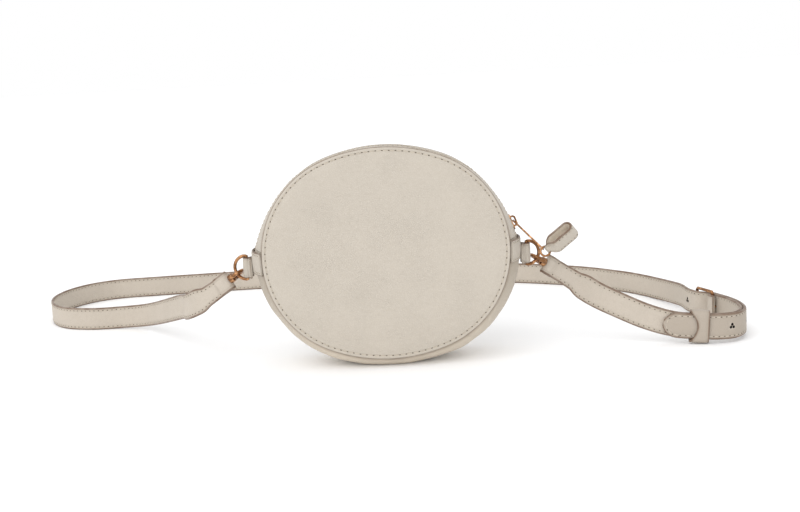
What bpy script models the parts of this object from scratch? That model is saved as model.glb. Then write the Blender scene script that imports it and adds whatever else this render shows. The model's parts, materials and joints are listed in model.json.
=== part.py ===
"""Small oval leather bag that stands upright, with a zip along its top and a clip-on buckled strap.

The origin is the middle of the flat base. X runs across the bag, Y from front to back, Z up.
All lengths are metres. The strap stands on edge behind the bag, as it falls when the bag is put down.
"""
import math

import bmesh
import bpy
from mathutils import Matrix, Vector

MM = 0.001
DEG = math.pi / 180

# Clearance between pieces that touch
SEAT_GAP = 0.3 * MM

# Front and back panels, a four-centre oval
PANEL_HALF_WIDTH = 86.3 * MM
PANEL_HALF_HEIGHT = 74.6 * MM
PANEL_TOP_SPAN = 21.5 * DEG
PANEL_THICKNESS = 1.8 * MM
PANEL_DOME = 1.2 * MM
PANEL_EDGE_ROUND = 0.6 * MM
BAG_DEPTH = 54 * MM

# Gusset: its crown line bulges past the panels, along the zip's arc above and an oval below
ZIP_ARC_RADIUS = 96.2 * MM
ZIP_ARC_DROP = 19 * MM
CROWN_BOTTOM_REACH = 82.5 * MM
CROWN_BOTTOM_SPAN = 20 * DEG
BASE_CUT = 1.5 * MM
GUSSET_THICKNESS = 1.6 * MM

# Stiffening boards, lining and pocket
BOARD_THICKNESS = 1 * MM
BOARD_MARGIN = 3 * MM
LINING_THICKNESS = 0.8 * MM
LINING_MOUTH_HALF_WIDTH = 72 * MM
LINING_MOUTH_FLOOR = 24 * MM
POCKET_WIDTH = 96 * MM
POCKET_HEIGHT = 62 * MM
POCKET_THICKNESS = 1.2 * MM
POCKET_RISE = 40 * MM

# Zip
ZIP_END_GAP = 1.5 * MM
ZIP_CHANNEL_WIDTH = 13 * MM
TAPE_WIDTH = 9.6 * MM
TAPE_THICKNESS = 0.6 * MM
TAPE_SPLIT = 3.2 * MM
BEAD_WIDTH = 1.6 * MM
BEAD_THICKNESS = 2.4 * MM
BEAD_SINK = 1 * MM
TOOTH_PITCH = 4.4 * MM
TOOTH_LENGTH = 1.6 * MM
TOOTH_REACH = 0.7 * MM
TOOTH_ROOT = 2.4 * MM
TOOTH_HEIGHT = 1.8 * MM
STOP_LENGTH = 1.4 * MM
STOP_HEIGHT = 0.9 * MM

# Zip slider, its puller and the leather pull
SLIDER_LENGTH = 11 * MM
SLIDER_WIDTH = 9.6 * MM
SLIDER_WALL = 1.4 * MM
SLIDER_LIP = 0.8 * MM
SLIDER_CHANNEL_WIDTH = 7.4 * MM
SLIDER_PARK_GAP = 2 * MM
BRIDGE_SPAN = 7 * MM
BRIDGE_RISE = 2.6 * MM
BRIDGE_WIRE = 0.7 * MM
PULLER_LENGTH = 26.5 * MM
PULLER_WIDTH = 5 * MM
PULLER_THICKNESS = 1.2 * MM
PULLER_WINDOW_WIDTH = 2.4 * MM
PULLER_WINDOW_LENGTH = 4.2 * MM
PULLER_END_WALL = 0.8 * MM
PULLER_FORWARD = 9.5 * MM
PULLER_TILT = -46 * DEG
PULL_RING_RADIUS = 3.4 * MM
PULL_RING_WIRE = 0.7 * MM
PULL_LENGTH = 22 * MM
PULL_WIDTH = 12 * MM
PULL_FOLD_RADIUS = 3.8 * MM
PULL_THICKNESS = 1.6 * MM
PULL_TILT = 84 * DEG
PULL_TWIST = 50 * DEG
PULL_NECK_WIDTH = 3 * MM
PULL_NECK_THICKNESS = 1.1 * MM
PULL_NECK_LENGTH = 9 * MM
PULL_NECK_SLACK = 0.4 * MM

# Side patches and the leather loops that hold the rings
PATCH_HEIGHT = 16 * MM
PATCH_RAISE = 5 * MM
PATCH_THICKNESS = 1.2 * MM
LOOP_HEIGHT = 14 * MM
LOOP_NECK = 4 * MM
LOOP_FOOT_WIDTH = 12 * MM
LOOP_THICKNESS = 1.5 * MM
RING_CENTRE_HEIGHT = 72.5 * MM

# D-rings
RING_WIRE = 1 * MM
RING_BEND_RADIUS = 8.5 * MM
RING_BAR_OFFSET = 1.2 * MM
RING_BAR_TRIM = 0.36 * MM
RING_TURN = 17 * DEG
PULL_DOWN_ANGLE = 34 * DEG

# Snap hooks
HOOK_WIRE = 1.1 * MM
HOOK_HALF_WIDTH = 5.7 * MM
HOOK_NOSE_REACH = 4.2 * MM
HOOK_SLACK = 2 * MM
HOOK_BASE_REACH = 6.4 * MM
HOOK_TIP_REACH = 2.3 * MM
BARREL_RADIUS = 3 * MM
BARREL_END_REACH = 9 * MM
POST_RADIUS = 1.2 * MM
POST_HEAD_RADIUS = 2.2 * MM
POST_HEAD_LENGTH = 1 * MM
GATE_PIVOT_OUT = 6 * MM
GATE_THICKNESS = 1.8 * MM
GATE_HEIGHT = 2.2 * MM
GATE_EAR_HEIGHT = 0.8 * MM
GATE_EAR_WIDTH = 3 * MM
GATE_BLOCK_INNER = 2.9 * MM
GATE_BLOCK_OUTER = 4.7 * MM
GATE_BLOCK_LENGTH = 1.8 * MM
GATE_PIN_RADIUS = 0.5 * MM
EYE_LENGTH = 5.5 * MM
EYE_CORNER = 1 * MM
EYE_SIDE_GAP = 0.5 * MM

# Strap
STRAP_WIDTH = 19 * MM
STRAP_END_WIDTH = 15 * MM
STRAP_THICKNESS = 2.2 * MM
STRAP_TAPER = 12 * MM
LAYER_GAP = 0.35 * MM
FOLD_TAIL = 10 * MM
FOLD_RUN_RIGHT = 18 * MM
FOLD_RUN_LEFT = 14 * MM
FOLD_SETTLE = 8 * MM
TIP_LENGTH = 10 * MM
STRAP_REACH = 300 * MM
STRAP_STEP = 3 * MM
STRAP_LONG_STEP = 24 * MM

# Buckle and keeper
BUCKLE_WIRE = 1.2 * MM
BUCKLE_LENGTH = 20 * MM
BUCKLE_SIDE_GAP = 0.5 * MM
PRONG_WIRE = 0.9 * MM
PRONG_SLOT_LENGTH = 10 * MM
PRONG_SLOT_HEIGHT = 2.8 * MM
PRONG_OVERHANG = 1.5 * MM
FOLD_SLOT_LENGTH = 8 * MM
KEEPER_LENGTH = 14 * MM
KEEPER_WALL = 1.4 * MM
KEEPER_GAP = 0.45 * MM
KEEPER_EDGE_GAP = 0.9 * MM
HOLE_RADIUS = 1.5 * MM
HOLE_PITCH = 20 * MM

# Named overrun for cuts that go right through
OVERRUN = 4 * MM

# Values that follow from the sizes above
PANEL_CENTRE = CROWN_BOTTOM_REACH - BASE_CUT
PATCH_CENTRE_HEIGHT = RING_CENTRE_HEIGHT + PATCH_RAISE
PATCH_TOP_RISE = PATCH_CENTRE_HEIGHT + PATCH_HEIGHT / 2 - PANEL_CENTRE + ZIP_ARC_DROP
ZIP_HALF_SPAN = math.acos(PATCH_TOP_RISE / ZIP_ARC_RADIUS) - ZIP_END_GAP / ZIP_ARC_RADIUS
SLIDER_PARK_SHIFT = STOP_LENGTH + SLIDER_LENGTH / 2 + SLIDER_PARK_GAP
SLIDER_PARK_ANGLE = ZIP_HALF_SPAN - SLIDER_PARK_SHIFT / ZIP_ARC_RADIUS
CROWN_HALF_WIDTH = math.sqrt(ZIP_ARC_RADIUS ** 2 - ZIP_ARC_DROP ** 2)
GUSSET_HALF_DEPTH = BAG_DEPTH / 2 - PANEL_THICKNESS - SEAT_GAP
TAPE_INSET = GUSSET_THICKNESS + SEAT_GAP
LINING_INSET = BEAD_SINK + BEAD_THICKNESS + SEAT_GAP
LOOP_FOOT_X = CROWN_HALF_WIDTH + PATCH_THICKNESS + 2 * SEAT_GAP
RING_BAR_X = LOOP_FOOT_X + LOOP_NECK
FOLD_RADIUS = HOOK_WIRE + SEAT_GAP + STRAP_THICKNESS / 2
LAYER_STEP = STRAP_THICKNESS + LAYER_GAP

RING_SEGMENTS = 72
GUSSET_STEP = 5 * DEG
STRAP_TURN = 6 * DEG

# Strap route from the right hook round to the left hook: across and back as shares of STRAP_REACH,
# then the centre's height as a share of the way from resting on the ground up to the rings
ROUTE_SHARES = (
    (0.442, 0.0337, 0.643), (0.500, 0.030, 0.452), (0.560, 0.023, 0.302), (0.620, 0.014, 0.170),
    (0.680, 0.004, 0.080), (0.734, -0.008, 0.055), (0.787, -0.016, 0.046), (0.830, -0.006, 0.046),
    (0.860, 0.040, 0.046), (0.866, 0.105, 0.046), (0.858, 0.158, 0.046), (0.840, 0.213, 0.046),
    (0.8155, 0.283, 0.046), (0.797, 0.348, 0.046), (0.783, 0.415, 0.030), (0.765, 0.488, 0.010),
    (0.735, 0.565, 0.000),
    (0.677, 0.650, 0.000), (0.560, 0.765, 0.000), (0.330, 0.885, 0.000), (0.000, 0.965, 0.000),
    (-0.330, 0.987, 0.000), (-0.600, 0.975, 0.000), (-0.780, 0.960, 0.000), (-0.890, 0.945, 0.000),
    (-0.967, 0.893, 0.000), (-1.013, 0.805, 0.000), (-1.023, 0.700, 0.000), (-0.993, 0.597, 0.000),
    (-0.935, 0.527, 0.000), (-0.855, 0.497, 0.000), (-0.765, 0.490, 0.011), (-0.700, 0.455, 0.055),
    (-0.655, 0.390, 0.133), (-0.612, 0.310, 0.232), (-0.570, 0.235, 0.332), (-0.528, 0.165, 0.427),
    (-0.507, 0.097, 0.483),
    (-0.477, 0.053, 0.563), (-0.445, 0.034, 0.640))
TIP_SHARE = 0.655
KEEPER_SHARE = 0.742
BUCKLE_SHARES = (0.843, 0.203)

# Shares and angles that shape single details
QUARTER = 90 * DEG
TOOTH_SHIFT_SHARE = 0.25
EAR_REACH_SHARE = 0.8
PULL_BELLY_SHARE = 0.6
LOOP_ARC = (-40 * DEG, 220 * DEG)
PRONG_CURL = (-60 * DEG, -270 * DEG)
THREAD_IN_SHARES = (0.18, 0.85)
THREAD_OUT_START = 1.15
THREAD_OUT_SPAN = 1.5
THREAD_END_SHARE = 2.7
TIP_BLEND_SHARE = 1.3
TIP_END_SHARE = 0.04

# Fineness of the mesh and small tables of shares
SMOOTH_ANGLE = 35 * DEG
WELD = 0.01 * MM
SPLINE_STEPS = 6
LINING_SEGMENTS = 48
LINING_RINGS = 5
DOME_SHARES = (0.86, 0.62, 0.3)
SLIDER_SHARES = ((-1, -0.55), (-0.75, -0.72), (0.35, -1), (0.8, -1), (1, -0.7), (1, 0.7), (0.8, 1),
                 (0.35, 1), (-0.75, 0.72), (-1, 0.55))
BRIDGE_SHARES = ((-1, -0.1), (-1, 0.6), (-0.7, 1), (0.7, 1), (1, 0.6), (1, -0.1))
PRONG_SLOT_SHARE = 0.42
PULL_SHARES = (0.15, 0.3, 0.5, 0.75)
FOLD_SHARES = (0.3, 0.6, 0.9)
FOLD_LEAN = 0.2
TIP_SHARES = (0, 0.12, 0.3, 0.55, 0.8, 1)
HOLE_COUNTS = (-5, -4, -3, 1)


def material(name, colour, roughness, metallic=0.0):
    """A plain Principled material."""
    made = bpy.data.materials.new(name)
    made.use_nodes = True
    shader = made.node_tree.nodes["Principled BSDF"]
    shader.inputs["Base Color"].default_value = (*colour, 1.0)
    shader.inputs["Roughness"].default_value = roughness
    shader.inputs["Metallic"].default_value = metallic
    return made


def clear_scene():
    for item in list(bpy.data.objects):
        bpy.data.objects.remove(item, do_unlink=True)


def collection(name):
    made = bpy.data.collections.new(name)
    bpy.context.scene.collection.children.link(made)
    return made


def add_object(name, mesh, surface, pivot=None):
    """Puts a mesh in the bag's collection, with the object's origin at its pivot."""
    made = bpy.data.objects.new(name, mesh)
    PARTS.objects.link(made)
    if surface:
        mesh.materials.clear()
        mesh.materials.append(surface)
    mesh.shade_smooth()
    mesh.set_sharp_from_angle(angle=SMOOTH_ANGLE)
    if pivot is not None:
        mesh.transform(Matrix.Translation(-Vector(pivot)))
        made.location = pivot
    return made


def finish(shape, name):
    """Turns a bmesh into a mesh whose faces point out."""
    bmesh.ops.recalc_face_normals(shape, faces=shape.faces)
    mesh = bpy.data.meshes.new(name)
    shape.to_mesh(mesh)
    shape.free()
    return mesh


def loft(name, rings):
    """A closed skin through rings of points, flat at both ends."""
    shape = bmesh.new()
    loops = [[shape.verts.new(point) for point in ring] for ring in rings]
    for near, far in zip(loops, loops[1:]):
        for i in range(len(near)):
            j = (i + 1) % len(near)
            shape.faces.new((near[i], near[j], far[j], far[i]))
    shape.faces.new(loops[0])
    shape.faces.new(loops[-1])
    return finish(shape, name)


def prism(name, outline, low, high, place=None):
    """An outline in X and Y raised from low to high, then placed."""
    rings = [[Vector((x, y, level)) for x, y in outline] for level in (low, high)]
    mesh = loft(name, rings)
    if place is not None:
        put(mesh, place)
    return mesh


def put(mesh, place):
    """Moves a mesh by a matrix, turning its faces back out if the matrix mirrors."""
    mesh.transform(place)
    if place.determinant() < 0:
        mesh.flip_normals()


def box(name, low, high, place=None):
    """A box between two corners."""
    shape = bmesh.new()
    size = [b - a for a, b in zip(low, high)]
    middle = [(a + b) / 2 for a, b in zip(low, high)]
    matrix = Matrix.Translation(middle) @ Matrix.Diagonal((*size, 1))
    bmesh.ops.create_cube(shape, size=1, matrix=matrix)
    mesh = finish(shape, name)
    if place is not None:
        put(mesh, place)
    return mesh


def rod(name, radius, start, end, place=None, sides=16):
    """A round bar between two points."""
    start, end = Vector(start), Vector(end)
    along = end - start
    turn = along.to_track_quat("Z", "Y").to_matrix().to_4x4()
    matrix = Matrix.Translation((start + end) / 2) @ turn
    shape = bmesh.new()
    bmesh.ops.create_cone(shape, cap_ends=True, segments=sides, radius1=radius, radius2=radius,
                          depth=along.length, matrix=matrix)
    mesh = finish(shape, name)
    if place is not None:
        put(mesh, place)
    return mesh


def wire(name, points, radius, closed=False, place=None, resolution=2):
    """A bent wire as a mesh: a curve with a round bevel, whose caps are welded."""
    curve = bpy.data.curves.new(name, "CURVE")
    curve.dimensions = "3D"
    curve.bevel_depth = radius
    curve.bevel_resolution = resolution
    curve.use_fill_caps = True
    spline = curve.splines.new("POLY")
    spline.points.add(len(points) - 1)
    for slot, point in zip(spline.points, points):
        spot = place @ Vector(point) if place is not None else Vector(point)
        slot.co = (*spot, 1)
    spline.use_cyclic_u = closed
    holder = bpy.data.objects.new(name, curve)
    bpy.context.scene.collection.objects.link(holder)
    graph = bpy.context.evaluated_depsgraph_get()
    mesh = bpy.data.meshes.new_from_object(holder.evaluated_get(graph))
    bpy.data.objects.remove(holder, do_unlink=True)
    bpy.data.curves.remove(curve)
    shape = bmesh.new()
    shape.from_mesh(mesh)
    bpy.data.meshes.remove(mesh)
    bmesh.ops.remove_doubles(shape, verts=shape.verts, dist=WELD)
    return finish(shape, name)


def boolean(target, cutter_mesh, operation):
    """Cuts a mesh from an object, or joins it on. The cutter is kept apart from the pieces."""
    cutter = bpy.data.objects.new(target.name + "_" + operation.lower(), cutter_mesh)
    CUTTERS.objects.link(cutter)
    cutter.hide_render = True
    cutter.display_type = "WIRE"
    step = target.modifiers.new(operation.lower(), "BOOLEAN")
    step.operation = operation
    step.solver = "EXACT"
    step.object = cutter


def oval_arcs(half_width, half_height, span):
    """Radii and centre shifts of a four-centre oval whose end arcs reach span each side of upright."""
    step = (half_width - half_height) / (math.sin(span) + math.cos(span) - 1)
    side_radius = half_width - step * math.sin(span)
    return side_radius + step, side_radius, step * math.sin(span), step * math.cos(span)


def oval_radius(angle, half_width, half_height, span):
    """Distance from an oval's centre to its edge at an angle above +X."""
    end_radius, side_radius, side_shift, end_drop = oval_arcs(half_width, half_height, span)
    across, up = abs(math.cos(angle)), abs(math.sin(angle))
    corner_x = end_radius * math.sin(span)
    corner_z = end_radius * math.cos(span) - end_drop
    if across * corner_z > up * corner_x:
        along, shift, radius = across * side_shift, side_shift, side_radius
    else:
        along, shift, radius = -up * end_drop, end_drop, end_radius
    return along + math.sqrt(along ** 2 - shift ** 2 + radius ** 2)


def panel_radius(angle):
    return oval_radius(angle, PANEL_HALF_WIDTH, PANEL_HALF_HEIGHT, PANEL_TOP_SPAN)


def crown_radius(angle):
    """The crown line's distance from the panel centre: the zip's circle above, an oval below."""
    if math.sin(angle) < 0:
        return oval_radius(angle, CROWN_HALF_WIDTH, CROWN_BOTTOM_REACH, CROWN_BOTTOM_SPAN)
    along = -ZIP_ARC_DROP * math.sin(angle)
    return along + math.sqrt(along ** 2 - ZIP_ARC_DROP ** 2 + ZIP_ARC_RADIUS ** 2)


def skin_point(angle, depth, inset):
    """A point on the gusset's skin, moved in by inset, with the base pressed flat on the ground."""
    swell = 1 - (depth / GUSSET_HALF_DEPTH) ** 2
    rim = panel_radius(angle)
    radius = rim + swell * (crown_radius(angle) - rim) - inset
    height = max(PANEL_CENTRE + radius * math.sin(angle), inset)
    return Vector((radius * math.cos(angle), depth, height))


def steps(start, end, step):
    """Even steps from start to end, no longer than step."""
    count = max(1, math.ceil(abs(end - start) / step))
    return [start + (end - start) * i / count for i in range(count + 1)]


def skin_band(name, start, end, depths, inset, thickness):
    """A strip of skin between two angles, with its section lofted round the oval."""
    rings = []
    for angle in steps(start, end, GUSSET_STEP):
        outer = [skin_point(angle, depth, inset) for depth in depths]
        inner = [skin_point(angle, depth, inset + thickness) for depth in reversed(depths)]
        rings.append(outer + inner)
    return loft(name, rings)


def spread(low, high, count):
    return [low + (high - low) * i / (count - 1) for i in range(count)]


def oval_ring(depth, inset, share=1.0, segments=RING_SEGMENTS):
    """One loop of points on the panel's oval at a depth."""
    loop = []
    for i in range(segments):
        angle = 2 * math.pi * i / segments
        radius = (panel_radius(angle) - inset) * share
        loop.append(Vector((radius * math.cos(angle), depth, PANEL_CENTRE + radius * math.sin(angle))))
    return loop


def make_panel(name, side):
    """A leather face with a rounded rim and a slight dome."""
    face = BAG_DEPTH / 2
    back = face - PANEL_THICKNESS
    rings = [oval_ring(side * back, 0),
             oval_ring(side * (face - PANEL_EDGE_ROUND), 0),
             oval_ring(side * face, PANEL_EDGE_ROUND)]
    for share in DOME_SHARES:
        rise = PANEL_DOME * (1 - share ** 2)
        rings.append(oval_ring(side * (face + rise), PANEL_EDGE_ROUND, share))
    add_object(name, loft(name, rings), LEATHER)


def make_board(name, side):
    """The stiffening board behind a panel."""
    outer = BAG_DEPTH / 2 - PANEL_THICKNESS - SEAT_GAP
    rings = [oval_ring(side * (outer - depth), BOARD_MARGIN, 1.0, RING_SEGMENTS // 2)
             for depth in (0, BOARD_THICKNESS)]
    add_object(name, loft(name, rings), BOARD)


def lining_solid(name, inset, half_depth):
    """The space inside the bag at a given inset, as a solid."""
    rings = []
    for depth in spread(-half_depth, half_depth, LINING_RINGS):
        rings.append([skin_point(2 * math.pi * i / LINING_SEGMENTS, depth, inset)
                      for i in range(LINING_SEGMENTS)])
    return loft(name, rings)


def make_lining():
    """A fabric bag inside the bag, open under the zip, with a patch pocket on its back wall."""
    outer_depth = BAG_DEPTH / 2 - PANEL_THICKNESS - 2 * SEAT_GAP - BOARD_THICKNESS - SEAT_GAP
    inner_depth = outer_depth - LINING_THICKNESS
    lining = add_object("lining", lining_solid("lining", LINING_INSET, outer_depth), FABRIC)
    hollow = lining_solid("lining_hollow", LINING_INSET + LINING_THICKNESS, inner_depth)
    boolean(lining, hollow, "DIFFERENCE")
    mouth_half = TAPE_SPLIT / 2 + TAPE_WIDTH - LINING_THICKNESS
    mouth = box("lining_mouth",
                (-LINING_MOUTH_HALF_WIDTH, -mouth_half, PANEL_CENTRE + LINING_MOUTH_FLOOR),
                (LINING_MOUTH_HALF_WIDTH, mouth_half, PANEL_CENTRE + ZIP_ARC_RADIUS))
    boolean(lining, mouth, "DIFFERENCE")
    pocket_back = inner_depth - SEAT_GAP
    pocket = box("inner_pocket",
                 (-POCKET_WIDTH / 2, pocket_back - POCKET_THICKNESS, POCKET_RISE),
                 (POCKET_WIDTH / 2, pocket_back, POCKET_RISE + POCKET_HEIGHT))
    add_object("inner_pocket", pocket, FABRIC)


def zip_frame(angle):
    """Place on the zip's arc, an angle from its top towards +X: X along the arc, Z outwards."""
    out = Vector((math.sin(angle), 0, math.cos(angle)))
    along = Vector((math.cos(angle), 0, -math.sin(angle)))
    spot = Vector((0, 0, PANEL_CENTRE - ZIP_ARC_DROP)) + out * ZIP_ARC_RADIUS
    turn = Matrix((along, Vector((0, 1, 0)), out)).transposed().to_4x4()
    return Matrix.Translation(spot) @ turn


def zip_polar(angle):
    """The angle above +X, seen from the panel centre, of a place on the zip's arc."""
    spot = zip_frame(angle).translation
    return math.atan2(spot.z - PANEL_CENTRE, spot.x)


def tooth_row(name, side):
    """The teeth of one tape, spaced to mesh with the other tape's teeth."""
    shape = bmesh.new()
    pitch = TOOTH_PITCH / ZIP_ARC_RADIUS
    end = ZIP_HALF_SPAN - (2 * STOP_LENGTH + TOOTH_LENGTH) / ZIP_ARC_RADIUS
    count = int(2 * end / pitch)
    size = (TOOTH_LENGTH, TOOTH_ROOT + TOOTH_REACH, TOOTH_HEIGHT)
    offset = TOOTH_SHIFT_SHARE * side * pitch
    for i in range(count):
        angle = (i - (count - 1) / 2) * pitch + offset
        middle = (0, side * (TOOTH_ROOT - TOOTH_REACH) / 2, -BEAD_SINK - BEAD_THICKNESS / 2)
        place = zip_frame(angle) @ Matrix.Translation(middle) @ Matrix.Diagonal((*size, 1))
        bmesh.ops.create_cube(shape, size=1, matrix=place)
    return finish(shape, name)


def tape_section(angle, side):
    """The section of one zip tape: a flat tape with a thick bead along the edge that carries the teeth."""
    edge = TAPE_SPLIT / 2
    shoulder = edge + BEAD_WIDTH
    bottom = TAPE_INSET + TAPE_THICKNESS
    corners = ((edge, BEAD_SINK), (shoulder, BEAD_SINK), (shoulder, TAPE_INSET),
               (edge + TAPE_WIDTH, TAPE_INSET), (edge + TAPE_WIDTH, bottom), (shoulder, bottom),
               (shoulder, BEAD_SINK + BEAD_THICKNESS), (edge, BEAD_SINK + BEAD_THICKNESS))
    return [skin_point(angle, side * depth, inset) for depth, inset in corners]


def make_zip():
    """Two tapes with meshing teeth, an end stop at each end, and the leather strips beside them."""
    right = zip_polar(ZIP_HALF_SPAN)
    joint = SEAT_GAP / CROWN_HALF_WIDTH
    for side, word in ((-1, "front"), (1, "back")):
        strip = sorted(side * depth for depth in spread(ZIP_CHANNEL_WIDTH / 2, GUSSET_HALF_DEPTH, 4))
        name = "gusset_top_" + word
        add_object(name, skin_band(name, right, math.pi - right, strip, 0, GUSSET_THICKNESS), LEATHER)
        name = "zip_tape_" + word
        turns = steps(right + joint, math.pi - right - joint, GUSSET_STEP)
        rings = [tape_section(angle, side) for angle in turns]
        tape = add_object(name, loft(name, rings), TAPE)
        boolean(tape, tooth_row(name + "_teeth", side), "UNION")
    stop_at = ZIP_HALF_SPAN - STOP_LENGTH / 2 / ZIP_ARC_RADIUS
    wide = TAPE_SPLIT / 2 + BEAD_WIDTH
    low = SEAT_GAP - BEAD_SINK
    for turn, name in ((1, "zip_end_stop_right"), (-1, "zip_end_stop_left")):
        mesh = box(name, (-STOP_LENGTH / 2, -wide, low), (STOP_LENGTH / 2, wide, low + STOP_HEIGHT),
                   zip_frame(turn * stop_at))
        add_object(name, mesh, GOLD)


def make_gusset():
    """The bulging band under the bag, from one end of the zip round to the other."""
    joint = SEAT_GAP / CROWN_HALF_WIDTH
    right = zip_polar(ZIP_HALF_SPAN) - joint
    depths = spread(-GUSSET_HALF_DEPTH, GUSSET_HALF_DEPTH, 8)
    mesh = skin_band("gusset_lower", math.pi - right, 2 * math.pi + right, depths, 0, GUSSET_THICKNESS)
    add_object("gusset_lower", mesh, LEATHER)


def make_slider():
    """The zip slider: a shield over the teeth with a bridge, its puller, and the leather pull."""
    frame = zip_frame(SLIDER_PARK_ANGLE)
    arc_centre = Vector((0, 0, PANEL_CENTRE - ZIP_ARC_DROP))
    roof = SEAT_GAP - BEAD_SINK
    half, wide = SLIDER_LENGTH / 2, SLIDER_WIDTH / 2
    outline = [(half * x, wide * y) for x, y in SLIDER_SHARES]
    body = prism("zip_slider", outline, roof - SLIDER_LIP, roof + SLIDER_WALL, frame)
    slider = add_object("zip_slider", body, GOLD)
    channel = box("slider_channel", (-SLIDER_LENGTH, -SLIDER_CHANNEL_WIDTH / 2, roof - OVERRUN),
                  (SLIDER_LENGTH, SLIDER_CHANNEL_WIDTH / 2, roof), frame)
    boolean(slider, channel, "DIFFERENCE")
    top = roof + SLIDER_WALL
    arch = [(BRIDGE_SPAN / 2 * x, 0, top + BRIDGE_RISE * z) for x, z in BRIDGE_SHARES]
    boolean(slider, wire("slider_bridge", arch, BRIDGE_WIRE, place=frame), "UNION")
    set_pivot(slider, arc_centre)
    hinge = frame @ Vector((0, 0, top + (BRIDGE_RISE - BRIDGE_WIRE) / 2))
    make_puller(hinge)
    return hinge


def make_puller(hinge):
    """A metal bar hung on the bridge, then a small ring and a folded leather strip."""
    along = Matrix.Rotation(-PULLER_TILT, 4, "Y")
    frame = Matrix.Translation(hinge) @ along
    half = PULLER_WIDTH / 2
    head = PULLER_WINDOW_LENGTH + PULLER_THICKNESS
    start = -PULLER_THICKNESS / 2
    eye_x, eye_y = PULLER_LENGTH, -PULLER_FORWARD
    hole_radius = PULL_RING_WIRE + SEAT_GAP
    lead = math.atan2(eye_y, eye_x)
    end_radius = hole_radius + PULLER_END_WALL
    outline = [(start, half), (start, -half), (head, -half)]
    outline += [(eye_x + end_radius * math.cos(t), eye_y + end_radius * math.sin(t))
                for t in spread(lead - QUARTER, lead + QUARTER, 7)]
    outline.append((head, half))
    plate = prism("zip_puller", outline, -PULLER_THICKNESS / 2, PULLER_THICKNESS / 2, frame)
    puller = add_object("zip_puller", plate, GOLD)
    slot = PULLER_WINDOW_WIDTH / 2
    window = box("puller_window", (PULLER_THICKNESS / 2, -slot, -OVERRUN),
                 (PULLER_THICKNESS / 2 + PULLER_WINDOW_LENGTH, slot, OVERRUN), frame)
    boolean(puller, window, "DIFFERENCE")
    boolean(puller, rod("puller_hole", hole_radius, (eye_x, eye_y, -OVERRUN), (eye_x, eye_y, OVERRUN),
                        frame, 12), "DIFFERENCE")
    set_pivot(puller, hinge)
    eye = frame @ Vector((eye_x, eye_y, 0))
    yaw = Matrix.Rotation(lead, 4, "Z")
    ring_frame = Matrix.Translation(eye) @ along @ yaw @ Matrix.Translation((PULL_RING_RADIUS, 0, 0))
    loop = [(PULL_RING_RADIUS * math.cos(t), 0, PULL_RING_RADIUS * math.sin(t))
            for t in spread(0, 2 * math.pi, 17)[:-1]]
    ring = wire("pull_ring", loop, PULL_RING_WIRE, True, ring_frame)
    add_object("pull_ring", ring, GOLD, ring_frame.translation)
    lift = Matrix.Rotation(-PULL_TILT, 4, "Y") @ Matrix.Translation((PULL_RING_RADIUS, 0, 0))
    upright = Matrix.Rotation(QUARTER, 4, "X")
    pull_frame = ring_frame @ lift @ upright
    add_object("leather_pull", pull_strip("leather_pull", pull_frame), LEATHER,
               (ring_frame @ lift).translation)


def pull_section(path, i):
    """Corners of the folded strip at one place on its path: it widens and twists away from the ring."""
    spot = Vector(path[i])
    along = (Vector(path[(i + 1) % len(path)]) - Vector(path[i - 1])).normalized()
    share = smooth(spot.x / PULL_NECK_LENGTH)
    thickness = PULL_NECK_THICKNESS + (PULL_THICKNESS - PULL_NECK_THICKNESS) * share
    side = Vector((along.y, -along.x)) * thickness / 2
    half = (PULL_NECK_WIDTH + (PULL_WIDTH - PULL_NECK_WIDTH) * share) / 2
    twist = Matrix.Rotation(PULL_TWIST * share, 3, "X")
    flat = [(spot + side, -half), (spot + side, half), (spot - side, half), (spot - side, -half)]
    return [twist @ Vector((p.x, y, p.y)) for p, y in flat]


def pull_strip(name, frame):
    """A strip folded into a long closed loop through the ring, wider at its far fold."""
    near = PULL_RING_WIRE + SEAT_GAP + PULL_NECK_THICKNESS / 2
    far_x = PULL_LENGTH - PULL_FOLD_RADIUS
    path = [(-PULL_NECK_SLACK - near * math.cos(t), near * math.sin(t))
            for t in spread(-math.pi / 2, math.pi / 2, 7)]
    rise = PULL_FOLD_RADIUS - near
    for share in PULL_SHARES:
        path.append((far_x * share, near + rise * smooth(share / PULL_BELLY_SHARE)))
    path += [(far_x + PULL_FOLD_RADIUS * math.sin(t), PULL_FOLD_RADIUS * math.cos(t))
             for t in spread(0, math.pi, 9)]
    for share in reversed(PULL_SHARES):
        path.append((far_x * share, -near - rise * smooth(share / PULL_BELLY_SHARE)))
    shape = bmesh.new()
    sections = [pull_section(path, i) for i in range(len(path))]
    loops = [[shape.verts.new(frame @ corner) for corner in section] for section in sections]
    for i, near_loop in enumerate(loops):
        far_loop = loops[(i + 1) % len(loops)]
        for j in range(4):
            k = (j + 1) % 4
            shape.faces.new((near_loop[j], near_loop[k], far_loop[k], far_loop[j]))
    return finish(shape, name)


def set_pivot(item, pivot):
    """Moves an object's origin, and its cutters with it, without moving the shape."""
    item.data.transform(Matrix.Translation(-Vector(pivot)))
    item.location = pivot


def side_place(side):
    """Mirror for the left-hand hardware."""
    return Matrix.Diagonal((side, 1, 1, 1))


def ring_frame(side):
    """Frame at the ring's bar: X outwards in the ring's plane, Z along the bar."""
    bar = Matrix.Translation((RING_BAR_X, 0, RING_CENTRE_HEIGHT))
    return side_place(side) @ bar @ Matrix.Rotation(RING_TURN, 4, "Z")


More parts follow.
